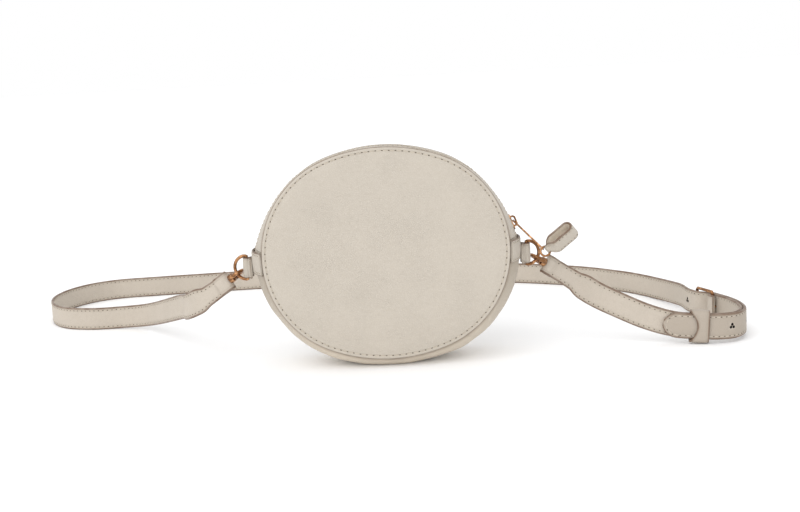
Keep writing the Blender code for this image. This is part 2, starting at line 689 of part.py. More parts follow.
def hook_frame(side):
    """Frame of the hook, slack on the middle of the ring's wire: X along the pull, Y across."""
    reach = RING_BAR_OFFSET + RING_BEND_RADIUS * math.cos(PULL_DOWN_ANGLE)
    drop = -RING_BEND_RADIUS * math.sin(PULL_DOWN_ANGLE)
    return (ring_frame(side) @ Matrix.Translation((reach, 0, drop))
            @ Matrix.Rotation(PULL_DOWN_ANGLE, 4, "Y") @ Matrix.Translation((-HOOK_SLACK, 0, 0)))


def make_side(side, word):
    """Patch, ring loop, ring, snap hook, gate, pin and swivel eye of one side."""
    make_patch(side, word)
    make_loop(side, word)
    make_ring(side, word)
    make_hook(side, word)
    make_gate(side, word)
    make_swivel(side, word)


def make_patch(side, word):
    """A leather patch across the gusset that the ring loop is sewn to."""
    low = math.asin((PATCH_CENTRE_HEIGHT - PATCH_HEIGHT / 2 - PANEL_CENTRE) / CROWN_HALF_WIDTH)
    high = math.asin((PATCH_CENTRE_HEIGHT + PATCH_HEIGHT / 2 - PANEL_CENTRE) / CROWN_HALF_WIDTH)
    if side < 0:
        low, high = math.pi - high, math.pi - low
    depths = spread(-GUSSET_HALF_DEPTH, GUSSET_HALF_DEPTH, 9)
    rings = []
    for angle in spread(low, high, 5):
        lift = SEAT_GAP + PATCH_THICKNESS
        outer = [skin_point(angle, depth, -lift) for depth in depths]
        inner = [skin_point(angle, depth, -SEAT_GAP) for depth in reversed(depths)]
        rings.append(outer + inner)
    name = "side_patch_" + word
    add_object(name, loft(name, rings), LEATHER)


def make_loop(side, word):
    """A leather strip folded round the ring's bar, with its feet sewn to the patch."""
    foot = LOOP_FOOT_X
    eye = RING_WIRE + SEAT_GAP
    outer = eye + LOOP_THICKNESS
    half = LOOP_FOOT_WIDTH / 2
    outline = [(foot, -half), (foot, half), (foot + LOOP_THICKNESS / 2, half)]
    outline += [(RING_BAR_X + outer * math.sin(t), outer * math.cos(t))
                for t in spread(*LOOP_ARC, 15)]
    outline.append((foot + LOOP_THICKNESS / 2, -half))
    low = RING_CENTRE_HEIGHT - LOOP_HEIGHT / 2
    name = "ring_loop_" + word
    item = add_object(name, prism(name, outline, low, low + LOOP_HEIGHT, side_place(side)), LEATHER)
    bore = rod(name + "_bore", eye, (RING_BAR_X, 0, low - OVERRUN),
               (RING_BAR_X, 0, low + LOOP_HEIGHT + OVERRUN), side_place(side))
    boolean(item, bore, "DIFFERENCE")


def make_ring(side, word):
    """A D-ring of round wire."""
    corner = RING_BEND_RADIUS
    path = [(RING_BAR_OFFSET + corner * math.cos(t), 0, corner * math.sin(t))
            for t in spread(-math.pi / 2, math.pi / 2, 15)]
    path += [(0, 0, corner - RING_BAR_TRIM), (0, 0, 0), (0, 0, RING_BAR_TRIM - corner)]
    place = ring_frame(side)
    name = "d_ring_" + word
    add_object(name, wire(name, path, RING_WIRE, True, place), GOLD, place.translation)


def make_hook(side, word):
    """A snap hook: bent nose, base, ears for the gate and a barrel bored for the swivel."""
    place = hook_frame(side)
    nose_at = -(RING_WIRE + SEAT_GAP + HOOK_WIRE)
    middle = nose_at + HOOK_NOSE_REACH
    nose = [(middle - HOOK_NOSE_REACH * math.sin(t), -HOOK_HALF_WIDTH * math.cos(t), 0)
            for t in spread(0, math.pi, 15)]
    corner = HOOK_WIRE
    path = [(HOOK_BASE_REACH, GATE_BLOCK_INNER, 0), (HOOK_BASE_REACH, corner - HOOK_HALF_WIDTH, 0),
            (HOOK_BASE_REACH - corner, -HOOK_HALF_WIDTH, 0)]
    path += nose + [(HOOK_TIP_REACH, HOOK_HALF_WIDTH, 0)]
    name = "snap_hook_" + word
    hook = add_object(name, wire(name, path, HOOK_WIRE, False, place), GOLD)
    barrel = rod(name + "_barrel", BARREL_RADIUS, (HOOK_BASE_REACH - HOOK_WIRE / 2, 0, 0),
                 (BARREL_END_REACH, 0, 0), place)
    boolean(hook, barrel, "UNION")
    ear_low = GATE_HEIGHT / 2 + SEAT_GAP
    ear_high = ear_low + GATE_EAR_HEIGHT
    block_half = GATE_BLOCK_LENGTH / 2
    block_high = ear_high + SEAT_GAP / 2
    block = box(name + "_block",
                (HOOK_BASE_REACH - block_half, GATE_BLOCK_INNER - HOOK_WIRE / 2, -block_high),
                (HOOK_BASE_REACH + block_half, GATE_BLOCK_OUTER, block_high), place)
    boolean(hook, block, "UNION")
    half_ear = GATE_EAR_WIDTH / 2
    for end in (-1, 1):
        low, high = sorted((end * ear_low, end * ear_high))
        ear = box(name + "_ear", (HOOK_BASE_REACH - half_ear, GATE_BLOCK_OUTER - HOOK_WIRE, low),
                  (HOOK_BASE_REACH + half_ear, GATE_PIVOT_OUT + half_ear * EAR_REACH_SHARE, high), place)
        boolean(hook, ear, "UNION")
    keep = HOOK_BASE_REACH - HOOK_WIRE - OVERRUN
    bore = rod(name + "_bore", POST_RADIUS + SEAT_GAP, (keep, 0, 0),
               (BARREL_END_REACH + OVERRUN, 0, 0), place)
    boolean(hook, bore, "DIFFERENCE")
    pivot = (HOOK_BASE_REACH, GATE_PIVOT_OUT)
    pin_hole = rod(name + "_pin_hole", GATE_PIN_RADIUS + SEAT_GAP, (*pivot, -OVERRUN),
                   (*pivot, OVERRUN), place, 12)
    boolean(hook, pin_hole, "DIFFERENCE")
    set_pivot(hook, place.translation)


def make_gate(side, word):
    """The hook's sprung gate and the pin that it turns on."""
    place = hook_frame(side)
    half = GATE_THICKNESS / 2
    tip = HOOK_TIP_REACH + 2 * SEAT_GAP
    turn = [(HOOK_BASE_REACH + half * math.sin(t), GATE_PIVOT_OUT + half * math.cos(t))
            for t in spread(0, math.pi, 7)]
    outline = [(tip, GATE_PIVOT_OUT + half)] + turn + [(tip, GATE_PIVOT_OUT - half)]
    name = "hook_gate_" + word
    gate = prism(name, outline, -GATE_HEIGHT / 2, GATE_HEIGHT / 2, place)
    item = add_object(name, gate, GOLD)
    ear_high = GATE_HEIGHT / 2 + SEAT_GAP + GATE_EAR_HEIGHT
    pivot = (HOOK_BASE_REACH, GATE_PIVOT_OUT)
    hole = rod(name + "_hole", GATE_PIN_RADIUS + SEAT_GAP, (*pivot, -OVERRUN),
               (*pivot, OVERRUN), place, 12)
    boolean(item, hole, "DIFFERENCE")
    set_pivot(item, place @ Vector((*pivot, 0)))
    pin = rod("gate_pin_" + word, GATE_PIN_RADIUS, (*pivot, -ear_high), (*pivot, ear_high), place, 12)
    add_object("gate_pin_" + word, pin, GOLD)


def eye_bar_reach():
    """How far the eye's far bar lies from the ring's wire."""
    return BARREL_END_REACH + SEAT_GAP + HOOK_WIRE + EYE_LENGTH


def make_swivel(side, word):
    """The swivel post with its head inside the hook, and the eye that holds the strap."""
    place = hook_frame(side)
    near = BARREL_END_REACH + SEAT_GAP + HOOK_WIRE
    far = eye_bar_reach()
    half = STRAP_END_WIDTH / 2 + EYE_SIDE_GAP + HOOK_WIRE
    cut = EYE_CORNER
    seat = POST_HEAD_RADIUS
    path = [(near + cut, 0, -half), (near, 0, cut - half), (near, 0, -seat), (near, 0, seat),
            (near, 0, half - cut), (near + cut, 0, half),
            (far - cut, 0, half), (far, 0, half - cut), (far, 0, cut - half), (far - cut, 0, -half)]
    name = "swivel_eye_" + word
    eye = add_object(name, wire(name, path, HOOK_WIRE, True, place), GOLD)
    head_end = HOOK_BASE_REACH - HOOK_WIRE - SEAT_GAP
    post = rod(name + "_post", POST_RADIUS, (head_end - POST_HEAD_LENGTH / 2, 0, 0), (near, 0, 0), place)
    boolean(eye, post, "UNION")
    head = rod(name + "_head", POST_HEAD_RADIUS, (head_end - POST_HEAD_LENGTH, 0, 0),
               (head_end, 0, 0), place)
    boolean(eye, head, "UNION")


def route_points():
    """The strap's centre line as places along a smooth curve, from the right hook to the left."""
    low = STRAP_WIDTH / 2
    knots = [Vector((x * STRAP_REACH, y * STRAP_REACH, low + lift * (RING_CENTRE_HEIGHT - low)))
             for x, y, lift in ROUTE_SHARES]
    bar = eye_bar_reach()
    knots[0] = hook_frame(1) @ Vector((bar + FOLD_RUN_RIGHT, 0, 0))
    knots[-1] = hook_frame(-1) @ Vector((bar + FOLD_RUN_LEFT, 0, 0))
    start = hook_frame(1) @ Vector((bar, 0, 0))
    end = hook_frame(-1) @ Vector((bar, 0, 0))
    line = [start] + knots + [end]
    dense = []
    for i in range(1, len(line) - 2):
        a, b, c, d = line[i - 1:i + 3]
        for j in range(SPLINE_STEPS):
            place = catmull(a, b, c, d, j / SPLINE_STEPS)
            place.z = max(place.z, low)
            dense.append(place)
    dense.append(line[-2])
    return dense


def catmull(a, b, c, d, t):
    """A place between b and c on the smooth curve through four points."""
    return 0.5 * (2 * b + (c - a) * t + (2 * a - 5 * b + 4 * c - d) * t ** 2
                  + (3 * b - a - 3 * c + d) * t ** 3)


class Route:
    """The strap's curve, read by the distance along it."""

    def __init__(self, points):
        self.points = points
        self.marks = [0.0]
        for a, b in zip(points, points[1:]):
            self.marks.append(self.marks[-1] + (b - a).length)
        self.length = self.marks[-1]

    def at(self, distance):
        """Place, direction, upward edge and outward side at a distance."""
        distance = min(max(distance, 0.0), self.length)
        i = 0
        while i < len(self.marks) - 2 and self.marks[i + 1] < distance:
            i += 1
        span = self.marks[i + 1] - self.marks[i]
        t = (distance - self.marks[i]) / span
        spot = self.points[i].lerp(self.points[i + 1], t)
        before = self.points[max(i - 1, 0)]
        after = self.points[min(i + 2, len(self.points) - 1)]
        along = (after - before).normalized()
        up = (Vector((0, 0, 1)) - along * along.z).normalized()
        return spot, along, up, along.cross(up)

    def mark_near(self, spot):
        """The distance along the route of its place nearest to a spot in plan."""
        best = min(range(len(self.points)), key=lambda i: (self.points[i].xy - Vector(spot)).length)
        return self.marks[best]

    def stations(self, start, end):
        """Distances from start to end, closer together where the strap bends."""
        marks = [start]
        facing = self.at(start)[1]
        for mark in steps(start, end, STRAP_STEP)[1:-1]:
            heading = self.at(mark)[1]
            if facing.angle(heading) > STRAP_TURN or mark - marks[-1] > STRAP_LONG_STEP:
                marks.append(mark)
                facing = heading
        marks.append(end)
        return marks


def ribbon(name, stations):
    """A flat strap through stations of place, upward edge, outward side and width."""
    rings = []
    half = STRAP_THICKNESS / 2
    for spot, up, out, width in stations:
        edge = up * width / 2
        rings.append([spot + edge + out * half, spot - edge + out * half,
                      spot - edge - out * half, spot + edge - out * half])
    return loft(name, rings)


def smooth(value):
    value = min(max(value, 0.0), 1.0)
    return value * value * (3 - 2 * value)


def hook_fold(side, reverse):
    """Stations of the strap's end: a short tail, the turn round the eye's bar, and the way out.

    The tail lies behind the right strap and in front of the left one, outside the strap's bend.
    """
    place = hook_frame(side)
    turn = place.to_3x3()
    up = turn @ Vector((0, 0, 1))
    bar = eye_bar_reach()
    path = [((bar + FOLD_TAIL, side * LAYER_STEP), (0, -1)),
            ((bar + FOLD_TAIL / 2, side * LAYER_STEP), (0, -1)),
            ((bar + FOLD_TAIL / 4, side * FOLD_RADIUS), (0, -1))]
    for t in spread(-math.pi / 2, math.pi / 2, 9):
        path.append(((bar - FOLD_RADIUS * math.cos(t), -side * FOLD_RADIUS * math.sin(t)),
                     (side * math.cos(t), math.sin(t))))
    for share in FOLD_SHARES:
        y = -side * FOLD_RADIUS * (1 - smooth(share))
        path.append(((bar + FOLD_SETTLE * share, y), (-side * FOLD_LEAN, 1)))
    run = FOLD_RUN_RIGHT if side > 0 else FOLD_RUN_LEFT
    path.append(((bar + (FOLD_TAIL + run) / 2, 0), (0, 1)))
    stations = []
    for (x, y), (nx, ny) in path:
        spot = place @ Vector((x, y, 0))
        out = (turn @ Vector((nx, ny, 0))).normalized()
        stations.append((spot, up, out, STRAP_END_WIDTH))
    return list(reversed(stations)) if reverse else stations


def make_strap():
    """The short strap with the buckle, and the long strap that is threaded through it."""
    route = Route(route_points())
    reach = STRAP_REACH
    tip_at = route.mark_near((TIP_SHARE * reach, 0))
    keeper_at = route.mark_near((KEEPER_SHARE * reach, 0))
    buckle_at = route.mark_near([share * reach for share in BUCKLE_SHARES])
    make_short_strap(route, buckle_at)
    make_long_strap(route, tip_at, buckle_at)
    make_keeper("sliding_keeper", route, keeper_at)
    make_buckle(route, buckle_at)
    return route, keeper_at, buckle_at


def taper(distance):
    """The strap's width at a distance from its fold's tail end."""
    share = smooth(distance / STRAP_TAPER)
    return STRAP_END_WIDTH + (STRAP_WIDTH - STRAP_END_WIDTH) * share


def buckle_frame_at(route, buckle_at):
    """Frame at the buckle's fixed bar: X towards the free end of the frame, Y out, Z up."""
    spot, along, up, out = route.at(buckle_at)
    along = Vector((along.x, along.y, 0)).normalized()
    out = Vector((along.y, -along.x, 0))
    drop = BUCKLE_WIRE + SEAT_GAP + STRAP_THICKNESS / 2
    turn = Matrix((along, out, Vector((0, 0, 1)))).transposed().to_4x4()
    return Matrix.Translation(spot - out * drop) @ turn


def make_short_strap(route, buckle_at):
    """From the right hook round the bend to the buckle, folded back at both ends."""
    stations = hook_fold(1, False)
    for distance in route.stations(STRAP_STEP, buckle_at - STRAP_STEP):
        spot, along, up, out = route.at(distance)
        stations.append((spot, up, -out, taper(distance)))
    frame = buckle_frame_at(route, buckle_at)
    turn = frame.to_3x3()
    radius = BUCKLE_WIRE + SEAT_GAP + STRAP_THICKNESS / 2
    for t in spread(0, math.pi, 9):
        spot = frame @ Vector((radius * math.sin(t), radius * math.cos(t), 0))
        inward = turn @ Vector((-math.sin(t), -math.cos(t), 0))
        stations.append((spot, Vector((0, 0, 1)), inward, STRAP_WIDTH))
    for x, y in ((-FOLD_TAIL / 3, -radius), (-FOLD_TAIL * 2 / 3, -radius)):
        spot = frame @ Vector((x, y, 0))
        stations.append((spot, Vector((0, 0, 1)), turn @ Vector((0, 1, 0)), STRAP_WIDTH))
    strap = add_object("strap_short", ribbon("strap_short", stations), LEATHER)
    slot = box("fold_slot", (-FOLD_SLOT_LENGTH / 2, -OVERRUN * 2, -PRONG_SLOT_HEIGHT / 2),
               (FOLD_SLOT_LENGTH, OVERRUN, PRONG_SLOT_HEIGHT / 2), frame)
    boolean(strap, slot, "DIFFERENCE")


def long_offset(past_buckle):
    """How far the long strap lies outside the route, by its distance past the buckle's bar."""
    outside = LAYER_STEP
    inside = -(2 * BUCKLE_WIRE + 2 * SEAT_GAP + STRAP_THICKNESS)
    if past_buckle < BUCKLE_LENGTH * THREAD_OUT_START:
        start, end = [BUCKLE_LENGTH * share for share in THREAD_IN_SHARES]
        return outside + (inside - outside) * smooth((past_buckle - start) / (end - start))
    past_frame = past_buckle - BUCKLE_LENGTH * THREAD_OUT_START
    return inside * (1 - smooth(past_frame / (BUCKLE_LENGTH * THREAD_OUT_SPAN)))


def make_long_strap(route, tip_at, buckle_at):
    """From its rounded tip back through the keeper and the buckle, and on to the left hook."""
    stations = []
    marks = [tip_at + TIP_LENGTH * share for share in TIP_SHARES]
    marks += route.stations(tip_at + TIP_LENGTH * TIP_BLEND_SHARE, buckle_at - STRAP_STEP)
    marks += steps(buckle_at, buckle_at + BUCKLE_LENGTH * THREAD_END_SHARE, STRAP_STEP)
    clear_at = buckle_at + BUCKLE_LENGTH * THREAD_END_SHARE + STRAP_STEP
    marks += route.stations(clear_at, route.length - STRAP_STEP)
    for mark in marks:
        spot, along, up, out = route.at(mark)
        offset = long_offset(mark - buckle_at)
        width = min(tip_width(mark - tip_at), taper(route.length - mark))
        stations.append((spot + out * offset, up, -out, width))
    stations += hook_fold(-1, True)
    strap = add_object("strap_long", ribbon("strap_long", stations), LEATHER)
    frame = buckle_frame_at(route, buckle_at)
    slot_at = BUCKLE_LENGTH * PRONG_SLOT_SHARE
    slot = box("prong_slot", (slot_at - PRONG_SLOT_LENGTH / 2, -OVERRUN * 2, -PRONG_SLOT_HEIGHT / 2),
               (slot_at + PRONG_SLOT_LENGTH / 2, OVERRUN * 2, PRONG_SLOT_HEIGHT / 2), frame)
    boolean(strap, slot, "DIFFERENCE")
    for count in HOLE_COUNTS:
        mark = buckle_at + slot_at + count * HOLE_PITCH
        spot, along, up, out = route.at(mark)
        spot = spot + out * long_offset(mark - buckle_at)
        hole = rod("strap_hole", HOLE_RADIUS, spot - out * STRAP_THICKNESS, spot + out * STRAP_THICKNESS,
                   None, 10)
        boolean(strap, hole, "DIFFERENCE")


def tip_width(distance):
    """The width of the strap's rounded tip, by the distance from its end."""
    share = min(max(distance / TIP_LENGTH, TIP_END_SHARE), 1.0)
    return STRAP_WIDTH * math.sqrt(1 - (1 - share) ** 2)


def make_keeper(name, route, mark):
    """A leather loop round both straps."""
    spot, along, up, out = route.at(mark)
    half = KEEPER_LENGTH / 2
    inner_low = -STRAP_THICKNESS / 2 - KEEPER_GAP
    inner_high = LAYER_STEP + STRAP_THICKNESS / 2 + KEEPER_GAP
    tall = STRAP_WIDTH / 2 + KEEPER_EDGE_GAP
    frame = Matrix.Translation(spot) @ Matrix((along, out, up)).transposed().to_4x4()
    mesh = box(name, (-half, inner_low - KEEPER_WALL, -tall - KEEPER_WALL),
               (half, inner_high + KEEPER_WALL, tall + KEEPER_WALL), frame)
    keeper = add_object(name, mesh, LEATHER)
    boolean(keeper, box(name + "_slot", (-half - OVERRUN, inner_low, -tall),
                        (half + OVERRUN, inner_high, tall), frame), "DIFFERENCE")
    set_pivot(keeper, spot)


def make_buckle(route, buckle_at):
    """The buckle's wire frame and its prong, curled round the bar."""
    place = buckle_frame_at(route, buckle_at)
    half = STRAP_WIDTH / 2 + BUCKLE_SIDE_GAP + BUCKLE_WIRE
    cut = BUCKLE_WIRE
    far = BUCKLE_LENGTH
    path = [(cut, 0, -half), (0, 0, cut - half), (0, 0, half - cut), (cut, 0, half),
            (far - cut, 0, half), (far, 0, half - cut), (far, 0, cut - half), (far - cut, 0, -half)]
    add_object("buckle_frame", wire("buckle_frame", path, BUCKLE_WIRE, True, place), GOLD)
    curl = BUCKLE_WIRE + SEAT_GAP + PRONG_WIRE
    points = [(curl * math.cos(t), curl * math.sin(t), 0) for t in spread(*PRONG_CURL, 12)]
    points.append((far + PRONG_OVERHANG, curl, 0))
    prong = wire("buckle_prong", points, PRONG_WIRE, False, place)
    add_object("buckle_prong", prong, GOLD, place.translation)


clear_scene()
PARTS = collection("oval_bag")
CUTTERS = collection("cutters")
LEATHER = material("cream_leather", (0.67, 0.62, 0.53), 0.55)
GOLD = material("gold_metal", (0.75, 0.48, 0.28), 0.22, 1.0)
TAPE = material("zip_tape", (0.62, 0.57, 0.48), 0.8)
FABRIC = material("lining_fabric", (0.55, 0.50, 0.42), 0.9)
BOARD = material("board", (0.35, 0.30, 0.24), 0.9)

make_panel("front_panel", -1)
make_panel("back_panel", 1)
make_board("front_board", -1)
make_board("back_board", 1)
make_lining()
make_gusset()
make_zip()
PULLER_HINGE = make_slider()
for SIDE, WORD in ((1, "right"), (-1, "left")):
    make_side(SIDE, WORD)
ROUTE, KEEPER_AT, BUCKLE_AT = make_strap()
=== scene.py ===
"""Looks of the oval bag: leather, stitching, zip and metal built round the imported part, and its studio.

All lengths are metres. X runs across the bag, Y from front to back, Z up.
"""
import json
import math

import bmesh
import bpy
from mathutils import Matrix, Vector, noise

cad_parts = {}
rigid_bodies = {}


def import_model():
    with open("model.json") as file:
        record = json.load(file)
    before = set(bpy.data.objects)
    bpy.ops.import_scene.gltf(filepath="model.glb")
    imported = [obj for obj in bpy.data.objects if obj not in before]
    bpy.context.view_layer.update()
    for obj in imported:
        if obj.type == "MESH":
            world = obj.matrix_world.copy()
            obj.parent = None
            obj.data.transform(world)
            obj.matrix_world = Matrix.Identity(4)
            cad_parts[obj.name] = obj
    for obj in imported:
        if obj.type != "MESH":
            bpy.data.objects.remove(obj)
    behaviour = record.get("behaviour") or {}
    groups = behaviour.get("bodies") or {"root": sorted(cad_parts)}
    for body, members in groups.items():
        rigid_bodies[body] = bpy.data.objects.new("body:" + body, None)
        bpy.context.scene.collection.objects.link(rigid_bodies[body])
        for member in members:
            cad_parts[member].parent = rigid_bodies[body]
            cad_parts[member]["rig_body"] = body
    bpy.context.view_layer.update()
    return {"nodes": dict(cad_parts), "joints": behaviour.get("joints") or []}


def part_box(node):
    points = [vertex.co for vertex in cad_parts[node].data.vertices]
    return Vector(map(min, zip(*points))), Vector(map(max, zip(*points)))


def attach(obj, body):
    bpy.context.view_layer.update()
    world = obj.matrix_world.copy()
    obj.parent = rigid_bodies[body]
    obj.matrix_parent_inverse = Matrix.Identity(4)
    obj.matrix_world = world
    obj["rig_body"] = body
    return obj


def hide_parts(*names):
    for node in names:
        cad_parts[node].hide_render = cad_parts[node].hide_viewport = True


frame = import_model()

MM = 0.001
DEG = math.pi / 180

# Shapes with the same values as in the solid model
SEAT_GAP = 0.3 * MM
PANEL_HALF_WIDTH = 86.3 * MM
PANEL_HALF_HEIGHT = 74.6 * MM
PANEL_TOP_SPAN = 21.5 * DEG
PANEL_THICKNESS = 1.8 * MM
PANEL_DOME = 1.2 * MM
BAG_DEPTH = 54 * MM
ZIP_ARC_RADIUS = 96.2 * MM
ZIP_ARC_DROP = 19 * MM
CROWN_BOTTOM_REACH = 82.5 * MM
CROWN_BOTTOM_SPAN = 20 * DEG
BASE_CUT = 1.5 * MM
GUSSET_THICKNESS = 1.6 * MM
BOARD_THICKNESS = 1 * MM
LINING_THICKNESS = 0.8 * MM
LINING_INSET = 3.7 * MM
MOUTH_HALF_WIDTH = 72 * MM
MOUTH_FLOOR = 24 * MM
ZIP_CHANNEL_WIDTH = 13 * MM
TAPE_WIDTH = 9.6 * MM
TAPE_THICKNESS = 0.6 * MM
TAPE_SPLIT = 3.2 * MM
BEAD_WIDTH = 1.6 * MM
BEAD_THICKNESS = 2.4 * MM
BEAD_SINK = 1 * MM
PULL_RING_WIRE = 0.7 * MM
PULL_LENGTH = 22 * MM
PULL_WIDTH = 12 * MM
PULL_FOLD_RADIUS = 3.8 * MM
PULL_THICKNESS = 1.6 * MM
PULL_NECK_THICKNESS = 1.1 * MM
PULL_NECK_SLACK = 0.4 * MM
PATCH_HEIGHT = 16 * MM
PATCH_CENTRE_HEIGHT = 77.5 * MM
ZIP_END_GAP = 1.5 * MM
PATCH_THICKNESS = 1.2 * MM
LOOP_NECK = 4 * MM
LOOP_FOOT_WIDTH = 12 * MM
LOOP_THICKNESS = 1.5 * MM
RING_CENTRE_HEIGHT = 72.5 * MM
RING_WIRE = 1 * MM
RING_BEND_RADIUS = 8.5 * MM
RING_BAR_OFFSET = 1.2 * MM
RING_TURN = 17 * DEG
PULL_DOWN_ANGLE = 34 * DEG
HOOK_WIRE = 1.1 * MM
HOOK_SLACK = 2 * MM
BARREL_END_REACH = 9 * MM
EYE_LENGTH = 5.5 * MM
STRAP_WIDTH = 19 * MM
STRAP_THICKNESS = 2.2 * MM
STRAP_TAPER = 12 * MM
LAYER_GAP = 0.35 * MM
FOLD_RUN_RIGHT = 18 * MM
FOLD_RUN_LEFT = 14 * MM
FOLD_SETTLE = 8 * MM
TIP_LENGTH = 10 * MM
STRAP_REACH = 300 * MM
STRAP_STEP = 3 * MM
BUCKLE_WIRE = 1.2 * MM
BUCKLE_LENGTH = 20 * MM
PRONG_SLOT_LENGTH = 10 * MM
PRONG_SLOT_HEIGHT = 2.8 * MM
PRONG_SLOT_SHARE = 0.42
FOLD_SLOT_LENGTH = 8 * MM
KEEPER_LENGTH = 14 * MM
KEEPER_WALL = 1.4 * MM
KEEPER_EDGE_GAP = 0.9 * MM
HOLE_PITCH = 20 * MM
HOLE_COUNTS = (-5, -4, -3, 1)

# Shapes that depart from the solid model, to come nearer the photo
PULL_TWIST = 56 * DEG
PULL_NECK_WIDTH = 6 * MM
PULL_NECK_LENGTH = 4 * MM
LOOP_HEIGHT = 14.8 * MM
STRAP_END_WIDTH = 14 * MM
FOLD_TAIL = 7 * MM
FOLD_SHIFT = 3.4 * MM
EYE_SQUEEZE = 0.66
KEEPER_GAP = 0.65 * MM
KEEPER_BOW = 5.5 * MM
PUNCH_RADIUS = 1.1 * MM
PUNCH_OFFSET = 1.3 * MM
TOOTH_PITCH = 2.2 * MM
TOOTH_SIZE = (1.0 * MM, 2.6 * MM, 1.8 * MM)
TOOTH_HEAD = 0.75 * MM
TOOTH_OFFSET = 1.15 * MM
TOOTH_SINK = 1.3 * MM

PANEL_CENTRE = CROWN_BOTTOM_REACH - BASE_CUT
PATCH_TOP_RISE = PATCH_CENTRE_HEIGHT + PATCH_HEIGHT / 2 - PANEL_CENTRE + ZIP_ARC_DROP
ZIP_HALF_SPAN = math.acos(PATCH_TOP_RISE / ZIP_ARC_RADIUS) - ZIP_END_GAP / ZIP_ARC_RADIUS
CROWN_HALF_WIDTH = math.sqrt(ZIP_ARC_RADIUS ** 2 - ZIP_ARC_DROP ** 2)
GUSSET_HALF_DEPTH = BAG_DEPTH / 2 - PANEL_THICKNESS - SEAT_GAP
TAPE_INSET = GUSSET_THICKNESS + SEAT_GAP
LOOP_FOOT_X = CROWN_HALF_WIDTH + PATCH_THICKNESS + 2 * SEAT_GAP
RING_BAR_X = LOOP_FOOT_X + LOOP_NECK
FOLD_RADIUS = HOOK_WIRE + SEAT_GAP + STRAP_THICKNESS / 2
LAYER_STEP = STRAP_THICKNESS + LAYER_GAP

# Strap route from the right hook round to the left hook: across and back as shares of STRAP_REACH,
# then the centre's height as a share of the way from resting on the ground up to the rings
ROUTE_SHARES = (
    (0.442, 0.0337, 0.643), (0.500, 0.030, 0.452), (0.560, 0.023, 0.302), (0.620, 0.014, 0.170),
    (0.680, 0.004, 0.080), (0.734, -0.008, 0.055), (0.787, -0.016, 0.046), (0.830, -0.006, 0.046),
    (0.860, 0.040, 0.046), (0.866, 0.105, 0.046), (0.858, 0.158, 0.046), (0.840, 0.213, 0.046),
    (0.8155, 0.283, 0.046), (0.797, 0.348, 0.046), (0.783, 0.415, 0.030), (0.765, 0.488, 0.010),
    (0.735, 0.565, 0.000),
    (0.677, 0.650, 0.000), (0.560, 0.765, 0.000), (0.330, 0.885, 0.000), (0.000, 0.965, 0.000),
    (-0.330, 0.987, 0.000), (-0.600, 0.975, 0.000), (-0.780, 0.960, 0.000), (-0.890, 0.945, 0.000),
    (-0.967, 0.893, 0.000), (-1.013, 0.805, 0.000), (-1.023, 0.700, 0.000), (-0.993, 0.597, 0.000),
    (-0.935, 0.527, 0.000), (-0.855, 0.497, 0.000), (-0.765, 0.490, 0.011), (-0.700, 0.455, 0.055),
    (-0.655, 0.390, 0.133), (-0.612, 0.310, 0.232), (-0.570, 0.235, 0.332), (-0.528, 0.165, 0.427),
    (-0.507, 0.097, 0.483),
    (-0.477, 0.053, 0.563), (-0.445, 0.034, 0.640))
TIP_SHARE = 0.655
KEEPER_SHARE = 0.742
BUCKLE_SHARES = (0.843, 0.203)
THREAD_IN_SHARES = (0.18, 0.85)
THREAD_OUT_START = 1.15
THREAD_OUT_SPAN = 1.5
TIP_SHARES = (0, 0.12, 0.3, 0.55, 0.8, 1)
FOLD_SHARES = (0.3, 0.6, 0.9)
FOLD_LEAN = 0.2
PULL_SHARES = (0.15, 0.3, 0.5, 0.75)
SPLINE_STEPS = 6

# Which way the leather pull points at rest
PULL_DIRECTION = (0.78375, -0.03527, 0.62007)

# How finely the strap is meshed, how deep its slots are cut, and where its holes are looked for
STRAP_MESH_STEP = 1.5 * MM
SLOT_CUT_REACH = 8 * MM
HOLE_SEARCH = (12 * MM, 20 * MM)

# Sewing
PANEL_STITCH_INSET = 2.6 * MM
PANEL_STITCH_PITCH = 4.6 * MM
STRAP_STITCH_INSET = 2.4 * MM
STRAP_STITCH_PITCH = 3.9 * MM
TOP_STITCH_INSET = 1.8 * MM
TOP_STITCH_PITCH = 3.4 * MM
PATCH_STITCH_INSET = 1.9 * MM
PATCH_STITCH_PITCH = 3.2 * MM
LOOP_STITCH_INSET = 1.6 * MM
LOOP_STITCH_PITCH = 2.4 * MM
KEEPER_SEAM_INSET = 1.7 * MM
PULL_STITCH_INSET = 1.7 * MM
PULL_STITCH_PITCH = 2.8 * MM
FOLD_SEWN_FROM = 19 * MM
BUCKLE_SEWN_FROM = 12 * MM
THREAD_RADIUS = 0.3 * MM
NEEDLE_HOLE = 0.5 * MM
CHANNEL_DEPTH = 0.3 * MM
CHANNEL_WIDTH = 0.5 * MM
EDGE_LAP = 1 * MM
# painted shade: the long strap is darker over this length from its tip
SHADED_TIP_LENGTH = 100 * MM

# How finely the metal's solids are eased, and how much fuller plated metal is than its bare solid
CAST_VOXEL = 0.2 * MM
CAST_ROUNDS = 5
SWELLS = (
    ("snap_hook", 0.28 * MM), ("d_ring", 0.25 * MM), ("swivel_eye", 0.12 * MM), ("hook_gate", 0.1 * MM),
    ("pull_ring", 0.15 * MM), ("zip_slider", 0.05 * MM), ("zip_puller", 0.05 * MM), ("buckle", 0.1 * MM))

